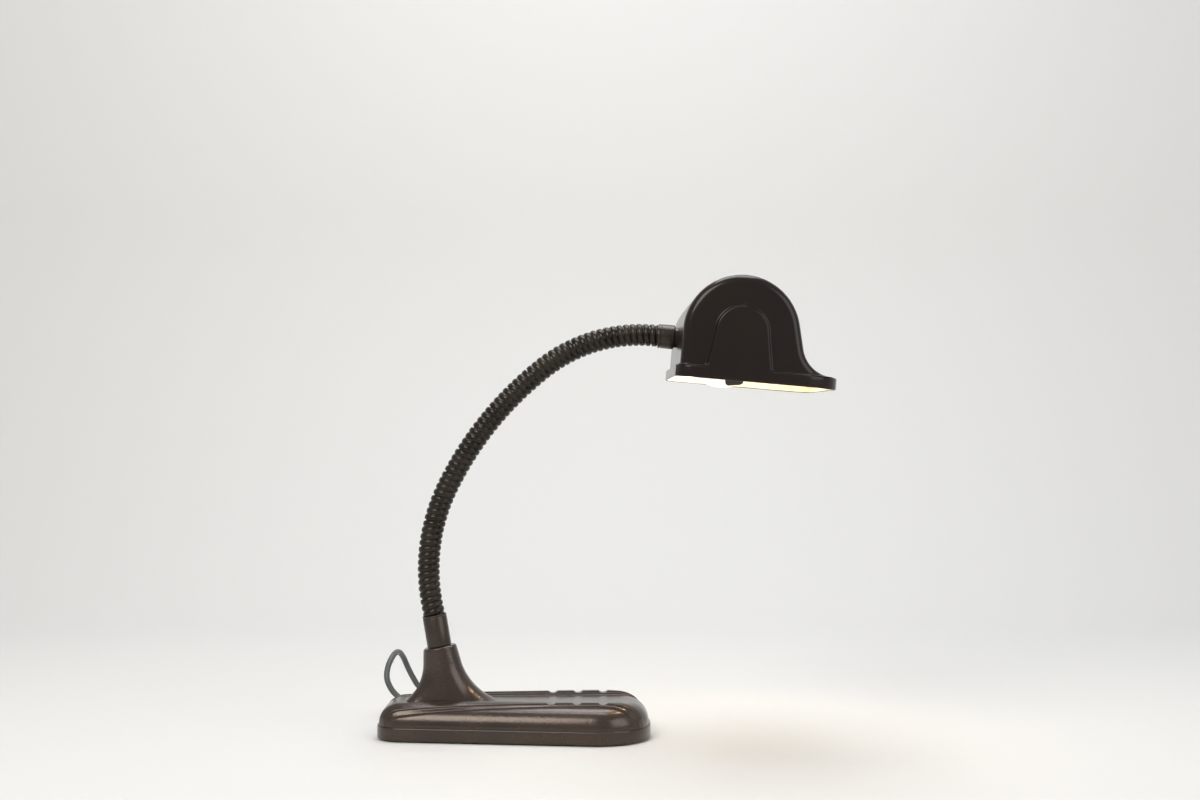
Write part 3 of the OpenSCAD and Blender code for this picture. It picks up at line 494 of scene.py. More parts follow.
class Effects:
    """Shader groups that several finishes share, each built once."""

    def __init__(self) -> None:
        """Starts with no group made."""
        self.made: dict[Kind, bpy.types.ShaderNodeTree] = {}

    def get(self, kind: Kind) -> bpy.types.ShaderNodeTree:
        """The group of one kind, made when first asked for."""
        if kind not in self.made:
            self.made[kind] = getattr(self, f"_{kind.value}")()
        return self.made[kind]

    @staticmethod
    def _start(name: str, inputs: dict[str, tuple[str, object]],
               outputs: dict[str, str]) -> tuple[Wiring, Socket, bpy.types.NodeOutputs]:
        """An empty group with its sockets and its object coordinates.

        Args:
            name: Name of the group.
            inputs: Type and first value of each input.
            outputs: Type of each output.

        Returns:
            The wiring of the group, the coordinates, and what the group is given.
        """
        tree = bpy.data.node_groups.new(name, "ShaderNodeTree")
        for label, (kind, value) in inputs.items():
            socket = tree.interface.new_socket(label, in_out="INPUT", socket_type=kind)
            socket.default_value = value
        for label, kind in outputs.items():
            tree.interface.new_socket(label, in_out="OUTPUT", socket_type=kind)
        w = Wiring(tree)
        return w, w.node("ShaderNodeTexCoord").outputs["Object"], w.node("NodeGroupInput").outputs

    def _grain(self) -> bpy.types.ShaderNodeTree:
        """Rounded lumps, as hammered paint has: cells whose edges are soft, broken up by noise."""
        w, spot, given = self._start("Hammered grain", {"Scale": (FLOAT, 700.0), "Fine": (FLOAT, 0.4)},
                                     {"Height": FLOAT})
        cells = w.node("ShaderNodeTexVoronoi", feature="SMOOTH_F1", Vector=spot, Scale=given["Scale"])
        finer = w.math("MULTIPLY", given["Scale"], 2.3)
        noise = w.node("ShaderNodeTexNoise", Detail=3.0, Vector=spot, Scale=finer)
        fine = w.math("MULTIPLY", noise.outputs[0], given["Fine"])
        w.node("NodeGroupOutput", Height=w.math("ADD", cells.outputs["Distance"], fine))
        return w.tree

    def _mottle(self) -> bpy.types.ShaderNodeTree:
        """Two tones that drift into each other over a surface."""
        w, spot, given = self._start("Mottle", {
            "Light": (COLOR, (0.5, 0.5, 0.5, 1)), "Dark": (COLOR, (0.2, 0.2, 0.2, 1)), "Scale": (FLOAT, 30.0),
            "Sharp": (FLOAT, 0.3)}, {"Color": COLOR, "Mask": FLOAT})
        noise = w.node("ShaderNodeTexNoise", Detail=5.0, Roughness=0.6, Vector=spot, Scale=given["Scale"])
        band = w.node("ShaderNodeMapRange", interpolation_type="SMOOTHSTEP", Value=noise.outputs[0],
                      From_Min=given["Sharp"], From_Max=w.math("SUBTRACT", 1.0, given["Sharp"]))
        mask = band.outputs["Result"]
        w.node("NodeGroupOutput", Color=w.mix(mask, given["Dark"], given["Light"]), Mask=mask)
        return w.tree

    def _edges(self) -> bpy.types.ShaderNodeTree:
        """Where edges stand out, broken up by noise: a lighter mask for worn paint, which on the hood and the
        base's ledge is also a painted highlight.
        """
        w, spot, given = self._start("Worn edges", {
            "Start": (FLOAT, 0.56), "End": (FLOAT, 0.66), "Break": (FLOAT, 60.0)}, {"Mask": FLOAT})
        sharp = w.node("ShaderNodeNewGeometry").outputs["Pointiness"]
        edge = w.node("ShaderNodeMapRange", Value=sharp, From_Min=given["Start"], From_Max=given["End"])
        noise = w.node("ShaderNodeTexNoise", Detail=4.0, Vector=spot, Scale=given["Break"])
        chip = w.node("ShaderNodeMapRange", Value=noise.outputs[0], From_Min=0.42, From_Max=0.6)
        w.node("NodeGroupOutput", Mask=w.math("MULTIPLY", edge.outputs["Result"], chip.outputs["Result"]))
        return w.tree

    def _streaks(self) -> bpy.types.ShaderNodeTree:
        """Fine lines in one direction, as drawn or turned metal has."""
        w, spot, given = self._start("Drawn streaks", {"Stretch": (VECTOR, (900.0, 900.0, 20.0))},
                                     {"Height": FLOAT})
        scaled = w.vector("MULTIPLY", spot, given["Stretch"])[0]
        noise = w.node("ShaderNodeTexNoise", Detail=2.0, Scale=1.0, Vector=scaled)
        w.node("NodeGroupOutput", Height=noise.outputs[0])
        return w.tree


@dataclass(frozen=True)
class Finish:
    """One finish and how it is put together."""

    name: str
    light: Color
    dark: Color
    rough: float = 0.4
    rough_spread: float = 0.1
    metal: float = 0.0
    tone_scale: float = 30.0
    grain: float = 0.0
    grain_scale: float = 700.0
    grain_depth: float = 0.00012
    streaks: Point | None = None
    streak_strength: float = 0.3
    # Lighter colour on sharp edges, from the edge mask: worn paint, and on some finishes a painted highlight
    # where light catches the edges.
    edge_wear_and_highlight: Color | None = None
    edge_wear_and_highlight_from: float = 0.56
    edge_wear_and_highlight_to: float = 0.68
    coat: float = 0.0
    coat_rough: float = 0.2
    sheen: float = 0.0
    specular: float = 0.5
    glow: float = 0.0
    glow_color: Color = (1.0, 0.8, 0.55)

    def build(self, effects: Effects) -> bpy.types.Material:
        """Builds the material.

        Args:
            effects: The shared shader groups.

        Returns:
            The material.
        """
        material = bpy.data.materials.new(self.name)
        material.use_nodes = True
        tree = material.node_tree
        tree.nodes.clear()
        w = Wiring(tree)
        skin = w.node(
            "ShaderNodeBsdfPrincipled", Metallic=self.metal, Coat_Weight=self.coat,
            Coat_Roughness=self.coat_rough, Sheen_Weight=self.sheen, Specular_IOR_Level=self.specular)
        w.node("ShaderNodeOutputMaterial", Surface=skin.outputs["BSDF"])
        tone = w.group(effects.get(Kind.MOTTLE), Light=(*self.light, 1), Dark=(*self.dark, 1),
                       Scale=self.tone_scale)
        rough = w.node("ShaderNodeMapRange", To_Min=self.rough - self.rough_spread,
                       To_Max=self.rough + self.rough_spread, Value=tone["Mask"])
        w.feed(skin.inputs["Roughness"], rough.outputs["Result"])
        color = tone["Color"]
        # Edges get the lighter colour: partly wear, partly a painted highlight.
        if self.edge_wear_and_highlight:
            edge = w.group(effects.get(Kind.EDGES), Start=self.edge_wear_and_highlight_from, End=self.edge_wear_and_highlight_to)
            color = w.mix(edge["Mask"], color, (*self.edge_wear_and_highlight, 1))
        w.feed(skin.inputs["Base Color"], color)
        if self.grain or self.streaks:
            source = (w.group(effects.get(Kind.STREAKS), Stretch=self.streaks) if self.streaks
                      else w.group(effects.get(Kind.GRAIN), Scale=self.grain_scale))
            bump = w.node("ShaderNodeBump", Strength=self.grain or self.streak_strength,
                          Distance=self.grain_depth, Height=source["Height"])
            w.feed(skin.inputs["Normal"], bump.outputs["Normal"])
        if self.glow:
            skin.inputs["Emission Color"].default_value = (*self.glow_color, 1)
            skin.inputs["Emission Strength"].default_value = self.glow
        return material


FINISHES = {f.name: f for f in (
    # bronze_paint's light edge colour is partly worn paint and partly a painted highlight along the band's
    # ledge and other sharp edges.
    Finish("bronze_paint", (0.054, 0.035, 0.025), (0.038, 0.025, 0.018), rough=0.24, rough_spread=0.03,
           metal=0.5, tone_scale=26, grain=0.5, grain_scale=620, grain_depth=0.0002, edge_wear_and_highlight=(0.46, 0.37, 0.26),
           edge_wear_and_highlight_from=0.565, edge_wear_and_highlight_to=0.70, coat=0.3, coat_rough=0.16),
    Finish("sleeve_bronze", (0.046, 0.031, 0.022), (0.030, 0.020, 0.014), rough=0.33, metal=0.55,
           streaks=(40.0, 40.0, 900.0), edge_wear_and_highlight=(0.30, 0.24, 0.18), coat=0.2),
    # hood_paint's warm light edge colour is a painted highlight along the hood's edge curves and panel
    # borders.
    Finish("hood_paint", (0.016, 0.0100, 0.0070), (0.0125, 0.0080, 0.0056), rough=0.22, rough_spread=0.02,
           metal=0.1, tone_scale=14, grain=0.10, grain_scale=1500, grain_depth=0.00006,
           edge_wear_and_highlight=(0.36, 0.25, 0.14), edge_wear_and_highlight_from=0.58, edge_wear_and_highlight_to=0.74, coat=0.12, coat_rough=0.08, specular=0.22),
    Finish("hood_cream", (0.80, 0.74, 0.60), (0.70, 0.62, 0.47), rough=0.42, tone_scale=22, grain=0.10,
           grain_scale=1200, grain_depth=0.00008),
    Finish("hose_lacquer", (0.036, 0.029, 0.022), (0.020, 0.016, 0.012), rough=0.28, metal=0.7, tone_scale=60,
           streaks=(300.0, 300.0, 300.0), edge_wear_and_highlight=(0.30, 0.25, 0.15), edge_wear_and_highlight_from=0.60, edge_wear_and_highlight_to=0.80),
    Finish("zinc_plate", (0.56, 0.56, 0.54), (0.42, 0.42, 0.40), rough=0.40, metal=1.0, tone_scale=90,
           streaks=(30.0, 900.0, 900.0)),
    Finish("tarnished_brass", (0.68, 0.49, 0.22), (0.46, 0.31, 0.13), rough=0.36, metal=1.0, tone_scale=70,
           streaks=(40.0, 900.0, 40.0)),
    Finish("blade_nickel", (0.72, 0.69, 0.60), (0.58, 0.54, 0.45), rough=0.30, metal=1.0, tone_scale=120,
           streaks=(30.0, 900.0, 900.0)),
    Finish("green_felt", (0.030, 0.062, 0.042), (0.018, 0.040, 0.028), rough=0.95, rough_spread=0.03,
           tone_scale=220, grain=0.8, grain_scale=2600, grain_depth=0.0004, sheen=0.4),
    Finish("cord_vinyl", (0.085, 0.092, 0.088), (0.055, 0.061, 0.060), rough=0.42, tone_scale=35, grain=0.12,
           grain_scale=1600, grain_depth=0.00006),
    Finish("plug_vinyl", (0.060, 0.066, 0.064), (0.042, 0.047, 0.046), rough=0.48, tone_scale=35, grain=0.3,
           grain_scale=1800, grain_depth=0.00008),
    Finish("lead_cotton", (0.050, 0.045, 0.040), (0.030, 0.027, 0.024), rough=0.8, tone_scale=300, grain=0.6,
           grain_scale=2400, grain_depth=0.0003, sheen=0.2),
    Finish("fibre_liner", (0.46, 0.34, 0.20), (0.34, 0.24, 0.13), rough=0.75, tone_scale=120, grain=0.4,
           grain_scale=2200, grain_depth=0.0001),
    Finish("dark_phenolic", (0.030, 0.022, 0.018), (0.020, 0.014, 0.012), rough=0.30, tone_scale=50,
           grain=0.08, grain_scale=1500, grain_depth=0.00005, coat=0.2),
    Finish("key_steel", (0.34, 0.32, 0.30), (0.22, 0.21, 0.20), rough=0.35, metal=1.0,
           streaks=(900.0, 900.0, 30.0)),
    Finish("frosted_glass", (0.93, 0.91, 0.87), (0.86, 0.83, 0.78), rough=0.30, tone_scale=25, grain=0.05,
           grain_scale=2500, grain_depth=0.00003, glow=0.65, glow_color=(1.0, 0.86, 0.66)),
    Finish("filament_wire", (0.62, 0.60, 0.56), (0.45, 0.43, 0.40), rough=0.35, metal=0.8, tone_scale=200,
           glow=1.0, glow_color=(1.0, 0.62, 0.28)),
    Finish("cap_aluminium", (0.74, 0.74, 0.73), (0.60, 0.60, 0.59), rough=0.32, metal=1.0, tone_scale=90,
           streaks=(40.0, 900.0, 40.0)),
    Finish("contact_glass", (0.035, 0.032, 0.036), (0.02, 0.018, 0.02), rough=0.2, tone_scale=90, coat=0.5),
    Finish("tie_paper", (0.62, 0.60, 0.55), (0.50, 0.48, 0.44), rough=0.7, tone_scale=150, grain=0.3,
           grain_scale=2600, grain_depth=0.0001),
)}


class Palette:
    """The built materials, by finish."""

    def __init__(self) -> None:
        """Starts with no material made."""
        self.effects = Effects()
        self.made: dict[str, bpy.types.Material] = {}

    def __getitem__(self, name: str) -> bpy.types.Material:
        """The material of a finish, built when first asked for."""
        if name not in self.made:
            self.made[name] = FINISHES[name].build(self.effects)
        return self.made[name]


# ---- geometry nodes ----


class Tree(Wiring):
    """A geometry node tree with named inputs, run once on a mesh."""

    def __init__(self, name: str, inputs: dict[str, tuple[str, object]]) -> None:
        """Makes the tree and its sockets.

        Args:
            name: Name of the tree.
            inputs: Type and value of each input after the geometry.
        """
        super().__init__(bpy.data.node_groups.new(name, "GeometryNodeTree"))
        self.values: dict[str, object] = {}
        self.tree.interface.new_socket("Geometry", in_out="INPUT", socket_type="NodeSocketGeometry")
        for label, (kind, value) in inputs.items():
            socket = self.tree.interface.new_socket(label, in_out="INPUT", socket_type=kind)
            self.values[socket.identifier] = value
        self.tree.interface.new_socket("Geometry", in_out="OUTPUT", socket_type="NodeSocketGeometry")
        self.given = self.node("NodeGroupInput").outputs

    def finish(self, last: bpy.types.Node) -> None:
        """Ends the tree with realized instances and the material."""
        real = self.node("GeometryNodeRealizeInstances", Geometry=last.outputs[0])
        paint = self.node("GeometryNodeSetMaterial", Geometry=real.outputs[0],
                          Material=self.given["Material"])
        self.node("NodeGroupOutput", Geometry=paint.outputs[0])

    def run(self, host: bpy.types.Mesh) -> bpy.types.Mesh:
        """Runs the tree on a mesh.

        Args:
            host: The mesh that carries the tree's start.

        Returns:
            The result as a plain mesh.
        """
        carrier = add("carrier", host)
        modifier = carrier.modifiers.new("made", "NODES")
        modifier.node_group = self.tree
        for identifier, value in self.values.items():
            modifier[identifier] = value
        made = evaluated(carrier)
        remove(carrier)
        return made


# ---- the base ----


@dataclass
class Base:
    """The casting with its stem and ribs, the screws of its plate, and the sleeve on the stem."""

    length: float = 197
    front_radius: float = 38
    rear_radius: float = 20
    front_y: float = 7
    rear_y: float = 9
    felt_proud: float = 0.8
    band_top: float = 10.2
    band_step: float = 1.2
    shoulder_z: float = 11
    shoulder: float = 15
    stem_back: float = 54.5
    stem_height: float = 65
    stem_lean: float = 9.5
    stem_radius: float = 12
    taper_length: float = 12
    taper_growth: float = 2
    flare_radius: float = 35.4
    side_share: float = 0.3
    rib_y: float = 22.25
    rib_angle: float = 2.4
    rib_low: float = 1.3
    rib_high: float = 1.3
    rib_low_half: float = 4.75
    rib_high_half: float = 2.5
    rib_round: float = 0.45
    rib_ends: tuple[float, float] = (-58.0, 50.0)
    rib_steps: int = 36
    tip_steps: int = 14
    notch_x: float = 64.3
    notch_spacing: float = 18.5
    notch_radius: float = 5
    notches: int = 3
    wall: float = 6.0
    hollow_top: float = 6.0
    chamfer: float = 0.6
    shoulder_steps: int = 16
    stem_steps: int = 30
    stem_crease: float = 0.4
    foot_round: float = 1.0
    bead: float = 0.7
    lip: float = 2.0
    bore: float = 8.0
    sleeve_length: float = 23.0
    sleeve_radius: float = 8.75
    sleeve_end: float = 7.95
    sleeve_bore: float = 5.1

    def __post_init__(self) -> None:
        """Works out the plan's corner centres and the side's direction."""
        self.front = Vector((self.length / 2 - self.front_radius, self.front_y))
        self.rear = Vector((self.rear_radius - self.length / 2, self.rear_y))
        apart = self.front - self.rear
        self.normal_angle = math.degrees(math.atan2(apart.y, apart.x)
                                         + math.acos((self.rear_radius - self.front_radius) / apart.length))
        side = math.radians(self.normal_angle)
        self.normal = Vector((math.cos(side), math.sin(side)))
        self.top = self.shoulder_z + self.shoulder
        self.foot_depth = self.stem_height - self.top
        self.foot_x = -self.stem_back + self.foot_depth * math.tan(math.radians(self.stem_lean))
        start = math.atan(self.taper_growth / self.taper_length)
        self.flare_reach = self.stem_radius + self.taper_growth + self.flare_radius * math.cos(start)
        self.flare_depth = self.taper_length - self.flare_radius * math.sin(start)
        self.on_stem = shift(-self.stem_back, 0, self.stem_height) @ turn("Y", -self.stem_lean)

    def outline(self, margin: float, corner: int = 22, side: int = 44) -> list[Vector]:
        """The casting's plan, drawn in by a margin, with points along the sides even round the stem's foot.

        Args:
            margin: How far it is drawn in.
            corner: Pieces in each corner.
            side: Pieces in each side.

        Returns:
            The points, counterclockwise from the front.
        """
        foot = Vector((self.foot_x, 0))
        corners = ((self.front, self.front_radius), (self.rear, self.rear_radius))
        ends = [c + (r - margin) * self.normal for c, r in corners]
        angles = [math.atan2(*reversed(tuple(e - foot))) for e in ends]
        half = [Vector(p) for p in arc(*self.front, self.front_radius - margin, 0, self.normal_angle, corner)]
        for i in range(1, side):
            a = angles[0] + (angles[1] - angles[0]) * i / side
            ray = Vector((math.cos(a), math.sin(a)))
            half.append(foot + ray * ((ends[0] - foot).dot(self.normal) / ray.dot(self.normal)))
        radius = self.rear_radius - margin
        half += [Vector(p) for p in arc(*self.rear, radius, self.normal_angle, 180, corner)]
        return half + [Vector((p.x, -p.y)) for p in reversed(half)]

    def stem_half(self, depth: float) -> float:
        """Half width of the stem at a depth below its top."""
        if depth <= self.taper_length:
            return self.stem_radius + self.taper_growth * depth / self.taper_length
        return self.flare_reach - math.sqrt(max(0, self.flare_radius ** 2 - (depth - self.flare_depth) ** 2))

    def stem_ring(self, depth: float, half: float, tilt: float) -> Ring:
        """One ring of the stem, an oval that stays inside the flat top.

        Args:
            depth: Its depth below the stem's top.
            half: Its half width lengthways.
            tilt: Its tilt, in degrees.

        Returns:
            The ring's points.
        """
        grown = half - self.stem_radius
        side = self.stem_radius + grown * (self.side_share if grown > 0 else 1)
        lean = math.radians(tilt)
        back = -self.stem_back + depth * math.tan(math.radians(self.stem_lean))
        ring = []
        for p in self.outline(self.band_step + self.shoulder):
            to = p - Vector((self.foot_x, 0))
            way = to.normalized()
            oval, room = half * side / math.hypot(side * way.x, half * way.y), 0.98 * to.length
            reach = (oval ** -8 + room ** -8) ** -0.125
            ring.append(Vector((back + reach * way.x * math.cos(lean), reach * way.y,
                                self.stem_height - depth + reach * way.x * math.sin(lean))))
        return ring

    def casting(self) -> Form:
        """The casting's skin from its underside to the stem's hollow top."""
        def flat(margin: float, z: float) -> Ring:
            return [Vector((p.x, p.y, z)) for p in self.outline(margin)]

        inside = self.band_step + self.wall
        rings = [flat(inside, self.hollow_top), flat(inside, self.felt_proud + self.chamfer),
                 flat(inside - self.chamfer, self.felt_proud)]
        rings += [flat(x, z) for x, z in arc(self.foot_round, self.felt_proud + self.foot_round,
                                             self.foot_round, 270, 180, 4)]
        rings += [flat(x, z) for x, z in arc(self.bead, self.band_top - self.bead, self.bead, 180, 60, 6)]
        rings += [flat(self.band_step - 0.1, self.band_top - 0.12), flat(self.band_step, self.band_top + 0.2)]
        for i in range(self.shoulder_steps + 1):
            t = math.radians(90 * i / self.shoulder_steps)
            rings.append(flat(self.band_step + self.shoulder * (1 - math.cos(t)),
                              self.shoulder_z + self.shoulder * math.sin(t)))
        foot = self.stem_ring(self.foot_depth, self.stem_half(self.foot_depth), 0)
        centre = Vector((self.foot_x, 0, self.top))
        rings.append([p + self.stem_crease * (p - centre).normalized() for p in foot])
        for i in range(self.stem_steps, 0, -1):
            depth = self.lip + (self.foot_depth - self.lip) * (i / self.stem_steps) ** 1.25
            lean = self.stem_lean * max(0, 1 - depth / self.taper_length)
            rings.append(self.stem_ring(depth, self.stem_half(depth), lean))
        for r, z in arc(self.stem_radius - self.lip + 0.35, -self.lip, self.lip, 0, 80, 7):
            rings.append(self.stem_ring(-z, r, self.stem_lean))
        rings.append(self.stem_ring(0.1, self.bore, self.stem_lean))
        return Form().rings(rings, caps=True)

    def inset(self, x: float, y: float) -> tuple[float, Vector]:
        """How far a point lies inside the shoulder's foot, and the way out from there.

        Args:
            x: Its place along the base.
            y: Its place across the base.

        Returns:
            The distance and the direction, level.
        """
        sign = 1 if y >= 0 else -1
        p = Vector((x, abs(y)))
        found = [((self.front - p).dot(self.normal) + self.front_radius, self.normal)]
        for centre, radius, way in ((self.front, self.front_radius, 1), (self.rear, self.rear_radius, -1)):
            out = p - centre
            if out.x * way > 0:
                if p.y < centre.y:
                    found.append((radius - abs(out.x), Vector((way, 0))))
                elif way * (out.to_2d().normalized() - self.normal).x >= 0:
                    found.append((radius - out.length, out.normalized()))
        depth, way = min(found, key=lambda f: f[0])
        return depth - self.band_step, Vector((way.x, sign * way.y, 0))

    def rib(self, side: int) -> Form:
        """One stepped rib, over the top and down both ends, with scooped notches.

        Args:
            side: 1 for the far rib, -1 for the near one.

        Returns:
            The rib.
        """
        low, tall = self.rib_low, self.rib_low + self.rib_high
        lh, hh, r = self.rib_low_half, self.rib_high_half, self.rib_round
        half = [(lh + 1.0, -0.25), (lh + 0.55, -0.02), (lh + 0.22, 0.2), (lh + 0.05, 0.5)]
        half += arc(lh - r, low - r, r, 0, 90, 4)
        half += [(hh + 0.5, low + 0.02), (hh + 0.18, low + 0.16), (hh, low + 0.45)]
        half += arc(hh - r, tall - r, r, 0, 90, 4)
        section = [(v, h) for v, h in half] + [(-v, h) for v, h in reversed(half)]
        section = [(lh + 1.0, -0.9)] + section + [(-lh - 1.0, -0.9)]
        angle = math.radians(self.rib_angle)
        way = Vector((math.cos(angle), side * math.sin(angle)))
        across = Vector((-way.y, way.x))
        start = Vector((0, side * (self.rib_y + self.stem_back * math.tan(angle))))
        least, whole, notch_step = 0.42, math.radians(42), 0.42

        def plan(v: float, u: float) -> Vector:
            """A point of the rib's plan: v across it, u along it."""
            return start + across * v + way * u

        def reach(v: float, share: float, end: float) -> float:
            """Distance along the rib to where the dome's inset is a share of its value beside the end."""
            near, far = end, end + math.copysign(60.0, end)
            margin = min(self.shoulder, self.inset(*plan(v, end))[0]) * share
            for _ in range(30):
                mid = (near + far) / 2
                near, far = (mid, far) if self.inset(*plan(v, mid))[0] > margin else (near, mid)
            return near

        def station(us: Sequence[float]) -> Ring:
            """One cross-section that follows the dome, from each point's distance along."""
            ring = []
            for (v, h), u in zip(section, us):
                scoop = tall
                for i in range(self.notches):
                    off = u - (self.notch_x - i * self.notch_spacing)
                    if abs(off) < self.notch_radius:
                        scoop = min(scoop, low + self.notch_radius
                                    - math.sqrt(self.notch_radius ** 2 - off ** 2))
                x, y = plan(v, u)
                depth, out = self.inset(x, y)
                a = math.acos(1 - min(1.0, max(0.0, depth / self.shoulder)))
                normal = out * math.cos(a) + Vector((0, 0, math.sin(a)))
                proud = least + (1 - least) * smooth(a / whole) if h > 0 else 1.0
                ring.append(Vector((x, y, self.shoulder_z + self.shoulder * math.sin(a)))
                            + normal * proud * (min(h, max(scoop, low)) if h > low else h))
            return ring

        shares = [1 - math.cos(math.radians(90 * i / self.tip_steps)) for i in range(self.tip_steps)]
        tips = [[[reach(v, share, end) for v, _ in section] for share in shares] for end in self.rib_ends]
        back, front = max(max(us) for us in tips[0]), min(min(us) for us in tips[1])
        run = (front - back - 2) / self.rib_steps
        stops = {round(back + 1 + run * i, 3) for i in range(self.rib_steps + 1)}
        for i in range(self.notches):
            middle = self.notch_x - i * self.notch_spacing
            stops |= {round(middle + d * notch_step, 3) for d in range(-10, 11)}
        rings = [station(us) for us in tips[0]]
        rings += [station([u] * len(section)) for u in sorted(stops) if back < u < front]
        rings += [station(us) for us in reversed(tips[1])]
        return Form().rings(rings, caps=True)

    def screws(self, palette: Palette) -> bpy.types.Mesh:
        """The four plate screws: cross-slotted heads and shanks, placed by geometry nodes."""
        head, tall, shank = 4.0, 1.2, 2.0
        profile = [(0, 7.8), (1.4, 7.8), (shank, 7.0), (shank, 0), (head, 0), (head, -0.5)]
        profile += arc(head - 0.9, -tall + 0.9, 0.9, 0, -90, 4)[1:]
        profile += [(1.2, -tall), (0.9, -tall + 0.5), (0, -tall + 0.7)]
        template = add("screw", Form().lathe(profile, sides=24, closed=False).mesh("screw"))
        slots = Form()
        for spin in (0, 90):
            slots.slab(oblong(2.6, -0.45, 0.45, corner=0.2), -2.4, -0.75, 0.05, turn("Z", spin))
        cutter = add("slot", slots.mesh("slot"))
        boolean(template, cutter, "DIFFERENCE").use_self = True
        host = bpy.data.meshes.new("places")
        places = [(self.front.x, self.front.y + self.front_radius / 2),
                  (self.rear.x + self.rear_radius / 4, self.rear.y)]
        host.from_pydata([(x * MM, s * y * MM, 0.002) for x, y in places for s in (1, -1)], [], [])
        tree = Tree("Screws on points", {"Screw": ("NodeSocketObject", template),
                                         "Material": ("NodeSocketMaterial", palette["zinc_plate"])})
        info = tree.node("GeometryNodeObjectInfo", Object=tree.given["Screw"])
        tree.finish(tree.node("GeometryNodeInstanceOnPoints", Points=tree.given["Geometry"],
                              Instance=info.outputs["Geometry"]))
        made = tree.run(host)
        remove(template, cutter)
        return shaded(made, 35)

    def dress(self, palette: Palette) -> None:
        """Adds the base's pieces."""
        bronze, screws = [palette["bronze_paint"]], self.screws(palette)
        skin = self.casting().mesh("base_casting_skin", sharp=40)
        Maker.piece("base_casting_skin", skin, bronze, "bronze_paint", "base", ["base_casting"])
        for name, side in (("base_rib_near", -1), ("base_rib_far", 1)):
            Maker.piece(name, self.rib(side).mesh(name, sharp=50), bronze, "bronze_paint", "base")
        Maker.piece("plate_screws_slotted", screws, [palette["zinc_plate"]], "zinc_steel", "base",
                    ["plate_screws"])
        length, radius, tail, bore = self.sleeve_length, self.sleeve_radius, self.sleeve_end, self.sleeve_bore
        sleeve = rounded([
            (tail, length - 1.2, 0), (tail, length, 0.25), (radius, length, 0.35), (radius, length - 0.8, 0),
            (radius - 0.12, length - 1.0, 0), (radius - 0.12, length - 1.4, 0), (radius, length - 1.6, 0),
            (radius, 0.25, 0.3), (bore, 0, 0.1), (bore, 12, 0), (tail, 12, 0)])
        Maker.turned("lower_ferrule_turned", sleeve, self.on_stem, MANY_SIDES, palette["sleeve_bronze"],
                     "bronze_paint", "base", "lower_ferrule")


# ---- the neck ----


